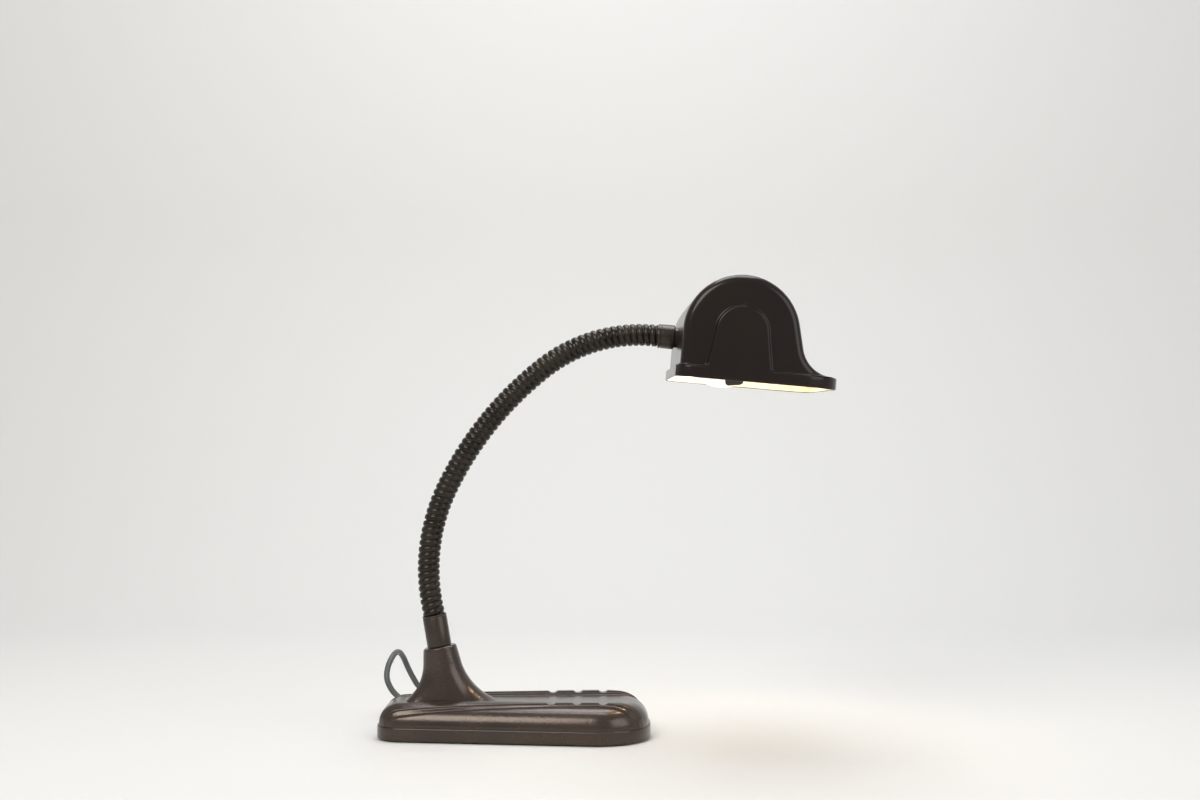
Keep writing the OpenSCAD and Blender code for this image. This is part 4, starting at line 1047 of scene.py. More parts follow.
@dataclass
class Neck:
    """The wound hose, cut into stiff links between the hinges, with its lead inside."""

    base: Base
    pitch: float = 4.6
    radius: float = 8.0
    ridge: float = 1.15
    roundness: float = 2.6
    samples: int = 14
    sides: int = 48
    end_turns: int = 3
    link_turns: int = 4
    links: int = 15
    lean: float = 12
    straight: float = 5
    top_straight: float = 4.7
    lower: tuple[float, float] = (90, 38)
    middle: tuple[float, float] = (112, 26)
    hood_pitch: float = 5
    ferrule: float = 23
    lead_radius: float = 2.0
    lead_gap: float = 0.4
    lead_steps: int = 8
    ball_radius: float = 6.7
    ball_angle: float = 32
    slot: float = 0.13
    seam_room: float = 0.3
    line_step: float = 0.5

    def __post_init__(self) -> None:
        """Walks the chain of links and the smooth line that follows it."""
        self.end = self.end_turns * self.pitch
        self.link = self.link_turns * self.pitch
        self.length = 2 * self.end + self.links * self.link
        begin = self.base.on_stem @ Vector((0, 0, self.ferrule))
        self.starts, here = [], begin
        for k in range(self.links + 2):
            self.starts.append(here)
            size = self.end if k in (0, self.links + 1) else self.link
            here = here + size * self.ahead(self.middle_of(k))
        self.tip = self.starts[-1] + self.end * self.way(-self.hood_pitch)
        step, s, here = self.line_step, 0.0, begin
        line = [(0.0, begin)]
        while s < self.length - 1e-6:
            here = here + step * self.ahead(s + step / 2)
            s += step
            line.append((s, here))
        drift = self.tip - line[-1][1]
        self.line = [(t, p + drift * (t / self.length)) for t, p in line]

    def middle_of(self, k: int) -> float:
        """Distance along the neck to the middle of link k."""
        if k == 0:
            return self.end / 2
        if k > self.links:
            return self.length - self.end / 2
        return self.end + (k - 0.5) * self.link

    def heading(self, s: float) -> float:
        """Direction of the neck at a distance along it, in degrees above +X."""
        lower, middle = self.straight + self.lower[0], self.straight + self.lower[0] + self.middle[0]
        upper = self.middle_of(self.links + 1) - self.top_straight - middle
        rest = 90 + self.lean + self.hood_pitch - self.lower[1] - self.middle[1]
        bends = ((self.straight, *self.lower), (lower, *self.middle), (middle, upper, rest))
        turned = sum(angle * min(1, max(0, (s - start) / size)) for start, size, angle in bends)
        return 90 + self.lean - turned

    @staticmethod
    def way(heading: float) -> Vector:
        """Unit vector of a heading."""
        return Vector((math.cos(math.radians(heading)), 0, math.sin(math.radians(heading))))

    def ahead(self, s: float) -> Vector:
        """Unit vector along the neck."""
        return self.way(self.heading(s))

    def at(self, s: float) -> Vector:
        """Point on the smooth line."""
        i = min(len(self.line) - 2, max(0, int(s / self.line_step)))
        (a, p), (b, q) = self.line[i], self.line[i + 1]
        return p.lerp(q, (s - a) / (b - a))

    def hose(self, palette: Palette) -> bpy.types.Mesh:
        """The whole hose by geometry nodes: a tube along the line, drawn in beside one long winding ridge."""
        host = bpy.data.meshes.new("hose_line")
        edges = [(i, i + 1) for i in range(len(self.line) - 1)]
        host.from_pydata([tuple(p * MM) for _, p in self.line], edges, [])
        along = host.attributes.new("along", "FLOAT", "POINT")
        along.data.foreach_set("value", [s * MM for s, _ in self.line])
        tree = Tree("Wound hose", {
            "Radius": (FLOAT, self.radius * MM), "Turn Pitch": (FLOAT, self.pitch * MM),
            "Ridge Height": (FLOAT, self.ridge * MM), "Sampling": (FLOAT, self.pitch / self.samples * MM),
            "Roundness": (FLOAT, self.roundness), "Sides": ("NodeSocketInt", self.sides),
            "Material": ("NodeSocketMaterial", palette["hose_lacquer"])})
        w, given = tree, tree.given
        curve = w.node("GeometryNodeMeshToCurve", Mesh=given["Geometry"])
        frame = w.node("GeometryNodeSetCurveNormal", mode="FREE", Curve=curve.outputs[0], Normal=(0, 1, 0))
        even = w.node("GeometryNodeResampleCurve", mode="LENGTH", Curve=frame.outputs[0],
                      Length=given["Sampling"])
        section = w.node("GeometryNodeCurvePrimitiveCircle", Resolution=given["Sides"],
                         Radius=given["Radius"])
        share = w.node("GeometryNodeSplineParameter").outputs["Factor"]
        store = w.node("GeometryNodeStoreNamedAttribute", data_type="FLOAT", domain="POINT", Name="round",
                       Geometry=section.outputs[0], Value=share)
        tube = w.node("GeometryNodeCurveToMesh", Curve=even.outputs[0], Profile_Curve=store.outputs[0])
        marks = [w.node("GeometryNodeInputNamedAttribute", data_type="FLOAT", Name=name)
                 for name in ("along", "round")]
        s, around = (mark.outputs["Attribute"] for mark in marks)
        slip = w.math("SUBTRACT", w.math("DIVIDE", s, given["Turn Pitch"]), around)
        phase = w.math("FRACT", w.math("ADD", slip, 0.5))
        centred = w.math("SUBTRACT", w.math("MULTIPLY", phase, 2.0), 1.0)
        depth = w.math("POWER", w.math("ABSOLUTE", centred), given["Roundness"])
        inward = w.math("MULTIPLY", w.math("MULTIPLY", depth, given["Ridge Height"]), -1.0)
        offset = w.vector("SCALE", w.node("GeometryNodeInputNormal").outputs["Normal"])
        w.feed(offset[0].node.inputs["Scale"], inward)
        tree.finish(w.node("GeometryNodeSetPosition", Geometry=tube.outputs[0], Offset=offset[0]))
        return tree.run(host)

    def turns_at(self, face: bmesh.types.BMFace, mark: bmesh.types.BMLayerItem,
                 round_mark: bmesh.types.BMLayerItem) -> float:
        """How many turns of the ridge lie before the middle of a face.

        Args:
            face: A face of the whole hose.
            mark: Layer with the distance along the neck.
            round_mark: Layer with the share of a turn round it.

        Returns:
            The number of turns.
        """
        rounds = [v[round_mark] for v in face.verts]
        seam = max(rounds) - min(rounds) > 0.5
        around = sum(r + (seam and r < 0.5) for r in rounds) / len(rounds)
        return sum(v[mark] for v in face.verts) / len(face.verts) / MM / self.pitch - around + 0.5

    def inside(self, k: int, low: int, high: int) -> bpy.types.Mesh:
        """The stretch of lead in a link, and the ball that fills the groove before it.

        Args:
            k: Number of the link.
            low: Number of its first turn.
            high: Number of the turn after its last.

        Returns:
            Both as one mesh.
        """
        start, size = low * self.pitch + self.lead_gap, (high - low) * self.pitch - 2 * self.lead_gap
        path = [self.at(start + size * i / self.lead_steps) for i in range(self.lead_steps + 1)]
        form = Form().tube(path, self.lead_radius, 12, paint=1)
        if k:
            way = self.ahead(low * self.pitch)
            tilt = 90 - math.degrees(math.atan2(way.z, way.x))
            place = Matrix.Translation(self.starts[k]) @ turn("Y", tilt)
            ball = arc(0, 0, self.ball_radius, -self.ball_angle, self.ball_angle, 8)
            form.lathe(ball, place, FEW_SIDES, closed=False)
        return form.mesh("inside")

    def split(self, whole: bpy.types.Mesh, k: int) -> bpy.types.Mesh:
        """Copies the turns of link k out of the hose, with what lies inside them.

        Args:
            whole: The whole hose.
            k: Number of the link.

        Returns:
            The link, cut along the groove at each hinge so that it has room to turn there.
        """
        low = self.end_turns + self.link_turns * (k - 1) if k else 0
        high = min(self.end_turns + self.link_turns * k, 2 * self.end_turns + self.link_turns * self.links)
        first = low + self.slot if k else -math.inf
        last = high - self.slot if k <= self.links else math.inf
        work = bmesh.new()
        work.from_mesh(whole)
        mark, round_mark = (work.verts.layers.float[name] for name in ("along", "round"))
        gone = [face for face in work.faces if not first <= self.turns_at(face, mark, round_mark) < last]
        bmesh.ops.delete(work, geom=gone, context="FACES")
        for v in work.verts:
            if v[round_mark] < 0.001 and v.is_boundary:
                way = self.ahead(v[mark] / MM)
                middles = sum((f.calc_center_median() for f in v.link_faces), Vector())
                inward = middles / len(v.link_faces) - v.co
                inward -= way * inward.dot(way)
                if inward.length > 0.1 * MM:
                    v.co += inward.normalized() * self.seam_room * MM
        work.from_mesh(self.inside(k, low, high))
        part = bpy.data.meshes.new(f"neck_turns_{k:02d}")
        work.to_mesh(part)
        work.free()
        part.shade_smooth()
        return part

    def body(self, k: int) -> str:
        """Name of the body that carries link k."""
        return "base" if k == 0 else "head" if k > self.links else f"neck_{k:02d}"

    def dress(self, palette: Palette) -> None:
        """Adds each link of the hose, riding on its own body."""
        whole = self.hose(palette)
        finishes = [palette["hose_lacquer"], palette["lead_cotton"]]
        for k in range(self.links + 2):
            stands = [f"neck_hose_{k:02d}"] + (["neck_lead"] if k == 0 else [])
            part = self.split(whole, k)
            Maker.piece(f"neck_turns_{k:02d}", part, finishes, "hose_steel", self.body(k), stands)
        bpy.data.meshes.remove(whole)


# ---- the hood ----


@dataclass
class Hood:
    """The pressed hood, the collar that joins it to the neck, and the panels on its ends."""

    neck: Neck
    entry_height: float = 30
    width: float = 186
    length: float = 111.5
    wall: float = 5.6
    arch_radius: float = 39.8
    arch_height: float = 32.5
    tilt: float = 13.3
    skirt: float = 8.3
    step: float = 2.8
    curve: float = 22
    front_corner: float = 26
    rear_corner: float = 12
    end_round: float = 6
    sheet: float = 1
    hem: float = 0.5
    panel: tuple[float, float, float] = (18, 33, 21.5)
    panel_flare: float = 3.2
    panel_sunk: float = 1.2
    panel_brow: float = 1.45
    panel_hollow: float = 1.3
    fillet: float = 1.3
    inner_fillet: float = 0.26
    brow: float = 1.5
    inner_brow: float = 0.9
    visor_ledge: float = 1.0
    crease: float = 28
    corner_steps: int = 8
    across_steps: int = 12
    along_steps: int = 14
    collar_length: float = 13.8
    collar_radius: float = 8.75
    collar_end: float = 7.95
    collar_bore: float = 5.1

    def __post_init__(self) -> None:
        """Works out the cross-section's main points."""
        self.place = Matrix.Translation(self.neck.tip) @ turn("Y", self.neck.hood_pitch)
        self.rim = -self.entry_height
        self.arch = Vector((self.wall + self.arch_radius, self.rim + self.arch_height))
        self.face = self.width / 2 - self.step
        self.ledge = self.rim + self.skirt
        self.rear = self.wall - self.step
        self.tip = self.rear + self.length
        self.slope = math.tan(math.radians(self.tilt))
        a = math.radians(self.tilt)
        self.touch = self.arch + self.arch_radius * Vector((math.cos(a), math.sin(a)))
        front = self.touch.x + (self.touch.y - self.ledge) * self.slope
        run = self.curve * math.tan(math.radians(45 - self.tilt / 2))
        self.bend = Vector((front + run, self.ledge + self.curve))

    def sides(self, z: float, m: float, ledge: float) -> tuple[float, float]:
        """Rear and front wall at a height, drawn in by a margin.

        Args:
            z: The height.
            m: The margin.
            ledge: Height at which the hollow curve ends.

        Returns:
            Both places along X.
        """
        up = z - self.arch.y
        radius = self.arch_radius - m
        half = math.sqrt(max(0.0, radius ** 2 - up ** 2))
        rear = self.arch.x - (half if up > 0 else radius)
        if up > radius * math.sin(math.radians(self.tilt)):
            return rear, self.arch.x + half
        front = self.touch.x + (self.touch.y - z) * self.slope - m / math.cos(math.radians(self.tilt))
        round_radius = self.curve + m
        drop = self.bend.y - z
        if drop > round_radius * math.sin(math.radians(self.tilt)):
            across = round_radius ** 2 - min(drop, self.bend.y - ledge) ** 2
            front = self.bend.x - math.sqrt(max(0.0, across))
        return rear, front

    def ring(self, z: float, rear: Flat, front: Flat) -> Ring:
        """A level ring, the same on both sides: rear wall, near end, front wall and far end.

        Args:
            z: Its height.
            rear: The rear corner's (x, y) points, from the rear wall to the end.
            front: The front corner's, from the front wall to the end.

        Returns:
            The ring, counterclockwise seen from above.
        """
        shares = [i / self.across_steps for i in range(1 - self.across_steps, self.across_steps)]
        run = front[-1][0] - rear[-1][0]
        side = [(rear[-1][0] + run * i / self.along_steps, rear[-1][1]) for i in range(1, self.along_steps)]
        near = [(rear[0][0], rear[0][1] * t) for t in shares] + rear + side + front[::-1]
        far = [(front[0][0], front[0][1] * t) for t in shares] + front + side[::-1] + rear[::-1]
        return [Vector((x, -y, z)) for x, y in near] + [Vector((x, y, z)) for x, y in far]

    def slice(self, z: float, m: float, out: float = 0.0) -> Ring:
        """A level ring of the arched body.

        Args:
            z: Its height.
            m: Margin of the whole skin, 0 outside and the sheet inside.
            out: How far a fillet at its foot stands out.

        Returns:
            The ring, counterclockwise seen from above, from the rear wall.
        """
        soft = self.end_round - m
        ledge = self.ledge - m
        limit = 0.0
        room = self.arch_radius - m - (z - self.arch.y)
        if room < soft:
            limit = math.degrees(math.asin(max(0.0, 1 - room / soft)))
        rears, fronts = [], []
        for i in range(self.corner_steps + 1):
            a = math.radians(90 - (90 - limit) * i / self.corner_steps)
            rear, front = self.sides(z, m + soft * (1 - math.sin(a)), ledge)
            y = self.face - m - soft * (1 - math.cos(a)) + out * math.cos(a)
            rears.append((rear - out * math.sin(a), y))
            fronts.append((front, y))
        ring = self.ring(z, rears, fronts)
        turn_x, turn_y = self.tip - self.front_corner, self.width / 2 - self.front_corner
        edge = self.front_corner - self.visor_ledge - m + out
        for p in ring:
            if p.x > turn_x:
                limit = turn_y + math.sqrt(max(0.0, edge ** 2 - (p.x - turn_x) ** 2))
                p.y = math.copysign(min(abs(p.y), limit), p.y)
        return ring

    def plan(self, margin: float, z: float) -> Ring:
        """A level ring of the skirt, with points that match those of the arched body.

        Args:
            margin: How far it is drawn in.
            z: Its height.

        Returns:
            The ring.
        """
        half, back, front = self.width / 2, self.rear_corner, self.front_corner
        return self.ring(
            z, arc(self.rear + back, half - back, back - margin, 180, 90, self.corner_steps),
            arc(self.tip - front, half - front, front - margin, 0, 90, self.corner_steps))

    def skin(self, m: float) -> list[Ring]:
        """The outer (0) or inner (sheet) skin as rings from the rim to the crest."""
        ledge, low = self.ledge - m, self.rim + self.hem
        brow, fillet = (self.inner_brow, self.inner_fillet) if m else (self.brow, self.fillet)
        rings = [self.plan(m, low + (ledge - brow - low) * i / 3) for i in range(4)]
        for a in QUARTER[1:]:
            rings.append(self.plan(m + brow * (1 - math.cos(a)), ledge - brow * (1 - math.sin(a))))
        lows = [fillet * (1 - math.cos(a)) for a in QUARTER]
        lows += [(self.curve + m) * (1 - math.cos(math.radians(a))) for a in range(8, 77, 5)]
        heights = sorted({round(h + ledge, 4) for h in lows})
        last, radius = heights[-1], self.arch_radius - m
        heights += [last + (self.arch.y - last) * i / 4 for i in range(1, 5)]
        heights += [self.arch.y + radius * math.sin(math.radians(a)) for a in range(4, 88, 4)]
        heights += [self.arch.y + radius - 0.02, self.arch.y + radius]
        for z in heights:
            h = z - ledge
            out = fillet - math.sqrt(max(0.0, fillet ** 2 - (fillet - h) ** 2)) if h < fillet else 0.0
            rings.append(self.slice(z, m, out))
        return rings

    def shell(self) -> bpy.types.Mesh:
        """The hood's sheet: outer skin, hemmed rim and inner skin, with the end panels pressed out of it."""
        form = Form()
        for paint, m in enumerate((0.0, self.sheet)):
            form.rings(self.skin(m), self.place, caps=False, paint=paint)
        hem = [self.plan(self.hem - x, z) for x, z in arc(0, self.rim + self.hem, self.hem, 0, -180, 6)]
        form.rings(hem, self.place, caps=False)
        mesh = form.mesh("hood_shell", sharp=self.crease)
        for name, margin, operation, paint in (("panel", 0.0, "UNION", 0),
                                               ("recess", self.sheet, "DIFFERENCE", 1)):
            cutter, holder = add(name, self.panels(margin, paint).mesh(name)), add("holder", mesh)
            for label in ("out", "in"):
                side = bpy.data.materials.get(label) or bpy.data.materials.new(label)
                for thing in (holder, cutter):
                    thing.data.materials.append(side)
            boolean(holder, cutter, operation)
            mesh = evaluated(holder)
            remove(holder, cutter)
        return shaded(mesh, self.crease)

    def panels(self, margin: float, paint: int) -> Form:
        """The arched panel at each end, as a solid with a hollow foot and a rounded brow.

        Args:
            margin: The sheet's thickness for the inside of the panel, or 0.
            paint: Material number of its faces.

        Returns:
            Both panels.
        """
        radius, height, foot = self.panel
        centre = Vector((self.arch.x, self.rim + height))
        top = self.width / 2 - 0.03 - margin
        form = Form()

        def outline(inset: float) -> Flat:
            """The panel's outline, drawn in."""
            half, flare = foot - inset, self.panel_flare
            base = self.ledge - self.panel_sunk + margin * 0.4
            right = [(centre.x + half + flare - flare * math.cos(math.radians(a)),
                      self.ledge + flare - flare * math.sin(math.radians(a))) for a in (80, 60, 40, 20, 0)]
            crown = arc(centre.x, centre.y, radius - inset, 0, 180, 32)
            left = [(2 * centre.x - x, z) for x, z in reversed(right)]
            return [(right[0][0], base)] + right + crown + left + [(left[-1][0], base)]

        brow, hollow = self.panel_brow, self.panel_hollow
        low = self.face + 0.02 - margin
        profile = [(0.0, low - 0.5)]
        if not margin:
            profile = [(-hollow, low - 0.45)]
            profile += [(hollow * (math.sin(a) - 1), low + hollow * (1 - math.cos(a))) for a in QUARTER]
        profile += [(brow * (1 - math.cos(a)), top - brow + brow * math.sin(a)) for a in QUARTER]
        for side in (-1, 1):
            rings = [[Vector((x, side * y, z)) for x, z in outline(inset + margin)] for inset, y in profile]
            form.rings(rings, self.place, caps=True, paint=paint)
        return form

    def dress(self, palette: Palette) -> None:
        """Adds the hood and the collar."""
        finishes = [palette["hood_paint"], palette["hood_cream"]]
        Maker.piece("hood_pressed", self.shell(), finishes, "hood_enamel", "head", ["hood"])
        low, high = self.wall - self.collar_length, self.wall
        radius, tail, bore = self.collar_radius, self.collar_end, self.collar_bore
        collar = rounded([
            (tail, low + 0.05, 0.15), (radius, low, 0.3), (radius, low + 1.3, 0.1),
            (radius - 0.35, low + 1.5, 0.1), (radius - 0.35, low + 2.1, 0.1), (radius, low + 2.3, 0.1),
            (radius, high - 2.4, 0.8), (7.5, high - 2.0, 0.2), (7.4, high, 0), (bore, high, 0),
            (bore, 0.3, 0), (tail, 0.1, 0)], 5)
        Maker.turned("upper_collar_turned", collar, self.place @ turn("Y", 90), MANY_SIDES,
                     palette["sleeve_bronze"], "bronze_paint", "head", "upper_collar")


# ---- bulb, holder and key ----


@dataclass
class Holder:
    """The bulb holder, its bracket and its key switch, and the bulb."""

    hood: Hood
    forward: float = 40.5
    drop: float = 3
    contact: float = -56
    centre_above: float = 78
    neck_above: tuple[float, float] = (20, 29)
    key_below: float = 8
    cap_above: float = 4
    shell_below: float = 16
    shell_length: float = 42
    shell_radius: float = 16.6
    cap_radius: float = 13.1
    thread_pitch: float = 3.6
    thread_steps: int = 12
    key_tilt: float = -9
    glass: float = 0.7
    bulb_radius: float = 30.0
    bulb_neck: float = 12.1
    bracket_x: float = 6.9
    bracket_thick: float = 1.5
    bracket_half: float = 6.0
    bracket_end: float = -79.5
    bracket_bend: float = 3.2

    def __post_init__(self) -> None:
        """Works out where the bulb's axis and the key lie."""
        self.on_bulb = self.hood.place @ shift(self.forward, 0, -self.drop) @ turn("X", -90)
        self.on_key = (self.on_bulb @ shift(0, 0, self.contact - self.key_below) @ turn("Z", self.key_tilt)
                       @ turn("X", -90))

    def thread(self, low: float, high: float, radius: float, depth: float, wall: float) -> Form:
        """A rolled screw shell: a thin wall that waves in and out along a helix.

        Args:
            low: Height of its lower end.
            high: Height of its upper end.
            radius: Radius at the crests.
            depth: How deep the thread is.
            wall: Thickness of the wall, inwards.

        Returns:
            The shell.
        """
        rows = round((high - low) / self.thread_pitch * self.thread_steps)
        rings = []
        for inner, order in enumerate((range(rows + 1), range(rows, -1, -1))):
            for i in order:
                z = low + (high - low) * i / rows
                ends = min(1.0, 4 * i / rows, 4 * (rows - i) / rows)
                ring = []
                for a in circle(SOME_SIDES):
                    wave = 0.5 - 0.5 * math.cos(2 * math.pi * (z / self.thread_pitch) - a)
                    r = radius - depth * (1 - smooth(wave) * smooth(ends)) - inner * wall
                    ring.append(Vector((r * math.cos(a), r * math.sin(a), z)))
                rings.append(ring)
        return Form().rings(rings, self.on_bulb, caps=False, loop=True)

    def bulb(self, palette: Palette) -> None:
        """Adds the glass, the threaded cap and the end contact."""
        centre = self.contact + self.centre_above
        low, high = (self.contact + z for z in self.neck_above)
        radius, neck = self.bulb_radius, self.bulb_neck
        away = math.hypot(neck, high - centre)
        touch = math.degrees(math.atan2(high - centre, neck) + math.acos(radius / away))
        a, b = Vector((neck, high)), Vector(arc(0, centre, radius, touch, touch, 1)[0])
        side = [(neck, low), (neck, high - 3)] + [tuple(a.lerp(b, t)) for t in (0.18, 0.34, 0.5, 0.66, 0.82)]
        outer = smooth_profile(side + arc(0, centre, radius, touch, 90, 40))
        inner = [(max(0.0, r - self.glass), z - (self.glass if r < 1 else 0)) for r, z in reversed(outer)]
        envelope = Form().lathe(outer + inner, self.on_bulb, 96, closed=False).mesh("bulb_envelope", 60)
        Maker.piece("bulb_envelope", envelope, [palette["frosted_glass"]], "bulb_glass", "bulb",
                    ["bulb_glass"])
        start = self.contact + self.cap_above
        cap = self.thread(start + 1.5, start + 17, self.cap_radius, depth=0.75, wall=0.25)
        cap.lathe(rounded([
            (8.0, start + 0.2, 0.1), (10.8, start, 0.8), (12.35, start + 1.5, 0.3), (12.1, start + 1.5, 0),
            (10.6, start + 0.5, 0.4), (8.0, start + 0.6, 0)], 4), self.on_bulb, SOME_SIDES)
        cap.lathe(rounded([
            (12.35, start + 17, 0.1), (12.9, start + 18, 0.3), (12.9, start + 22.6, 0.3),
            (12.4, start + 23, 0.2), (12.15, start + 23, 0), (12.15, start + 17, 0)], 4),
            self.on_bulb, SOME_SIDES)
        Maker.piece("bulb_cap_threaded", cap.mesh("bulb_cap_threaded"), [palette["cap_aluminium"]],
                    "cap_aluminium", "bulb", ["bulb_cap"])
        c = self.contact
        knob = [(0, c + 0.05), (2.6, c + 0.1), (3.6, c + 0.45), (4.2, c + 1.2), (4.2, c + 1.8), (0, c + 1.8)]
        dish = rounded([
            (0, c + 1.2, 0), (4.6, c + 1.0, 0.3), (6.4, c + 2.0, 0.6), (10.6, start - 0.1, 0.6),
            (9.8, start + 0.3, 0), (0, start + 0.3, 0)], 4, closed=False)
        tip = Form()
        for paint, profile in ((1, knob), (0, dish)):
            tip.lathe(profile, self.on_bulb, FEW_SIDES, closed=False, paint=paint)
        Maker.piece("bulb_contact_turned", tip.mesh("bulb_contact_turned"),
                    [palette["contact_glass"], palette["blade_nickel"]], "contact_glass", "bulb",
                    ["bulb_contact"])

    def holder(self, palette: Palette) -> None:
        """Adds the shell, cap and screw shell of the holder."""
        low, r = self.contact - self.shell_below, self.shell_radius
        high, bottom = low + self.shell_length, low - 6
        shell = rounded([
            (r - 0.6, low, 0), (r, low, 0.2), (r, low + 5, 0.4), (r - 0.35, low + 5.5, 0.3),
            (r - 0.35, low + 7.0, 0.3), (r, low + 7.5, 0.4), (r, high - 6, 0.4), (r - 0.3, high - 5.4, 0.3),
            (r - 0.3, high - 4, 0.3), (r, high - 3.4, 0.4), (r, high, 0.3), (r - 0.6, high, 0.2)], 4)
        cap = rounded([
            (5.1, bottom, 0.1), (13.5, bottom, 2.6), (17.5, bottom + 3.2, 1.2), (17.5, low + 3, 0.25),
            (16.92, low + 3, 0.2), (16.92, bottom + 3.6, 1.0), (13.2, bottom + 1.1, 2.0),
            (5.1, bottom + 1.1, 0)], 6)
        brass = palette["tarnished_brass"]
        for name, profile, replaces in (("socket_shell_spun", shell, "socket_shell"),
                                        ("socket_cap_spun", cap, "socket_cap")):
            Maker.turned(name, profile, self.on_bulb, MANY_SIDES, brass, "brass", "head", replaces)
        inner = self.thread(self.contact - 1, high - 1, 13.6, depth=0.35, wall=0.06)
        Maker.piece("screw_shell_threaded", inner.mesh("screw_shell_threaded"), [brass], "brass", "head",
                    ["screw_shell"])

    def bracket(self, palette: Palette) -> None:
        """Adds the bent strap that carries the holder."""
        x, half, bend, edge = self.bracket_x, self.bracket_half, self.bracket_bend, 0.3
        out = self.bracket_thick / 2
        low = self.bracket_end + out
        path = [(x + out, 7.2)] + [(x + out, -20.0 * i) for i in range(4)]
        path += arc(x + out + bend, low + bend, bend, 180, 270, 8)
        path += [(x + 14, low), (self.forward - 4, low), (self.forward + 6.6, low)]
        section = oblong(out, -half, half, edge, 2)
        rings = []
        for i, (x, y) in enumerate(path):
            a, b = Vector(path[max(0, i - 1)]), Vector(path[min(len(path) - 1, i + 1)])
            run = (b - a).normalized()
            normal = Vector((-run.y, run.x, 0))
            sunk = -self.drop * smooth((i - 1) / 5)
            rings.append([Vector((x, y, v + sunk)) + normal * u for u, v in section])
        Maker.piece("socket_bracket_bent", Form().rings(rings, self.hood.place).mesh("socket_bracket_bent"),
                    [palette["zinc_plate"]], "zinc_steel", "head", ["socket_bracket"])

    def key(self, palette: Palette) -> None:
        """Adds the key's paddle."""
        low, width, reach, thick, boss, corner = 17.6, 12.5, 29.8, 3.2, 5.0, 2.5
        half, top = width / 2, reach - low
        outline = [(3.4, 0.0), (3.4, boss - 1.6), (half - 0.6, boss - 0.9), (half, boss)]
        outline += arc(half - corner, top - corner, corner, 0, 90, 6)
        outline += arc(corner - half, top - corner, corner, 90, 180, 6)
        outline += [(-x, y) for x, y in reversed(outline[:4])]
        place = self.on_key @ shift(0, 0, low) @ turn("X", 90)
        paddle = Form().slab(outline, -thick / 2, thick / 2, 0.9, place, steps=4)
        Maker.piece("key_paddle_moulded", paddle.mesh("key_paddle_moulded", 45), [palette["dark_phenolic"]],
                    "phenolic", "key", ["key_paddle"])

    def dress(self, palette: Palette) -> None:
        """Adds every piece of the holder, the key and the bulb."""
        self.holder(palette)
        self.bracket(palette)
        self.key(palette)
        self.bulb(palette)


# ---- the cord ----


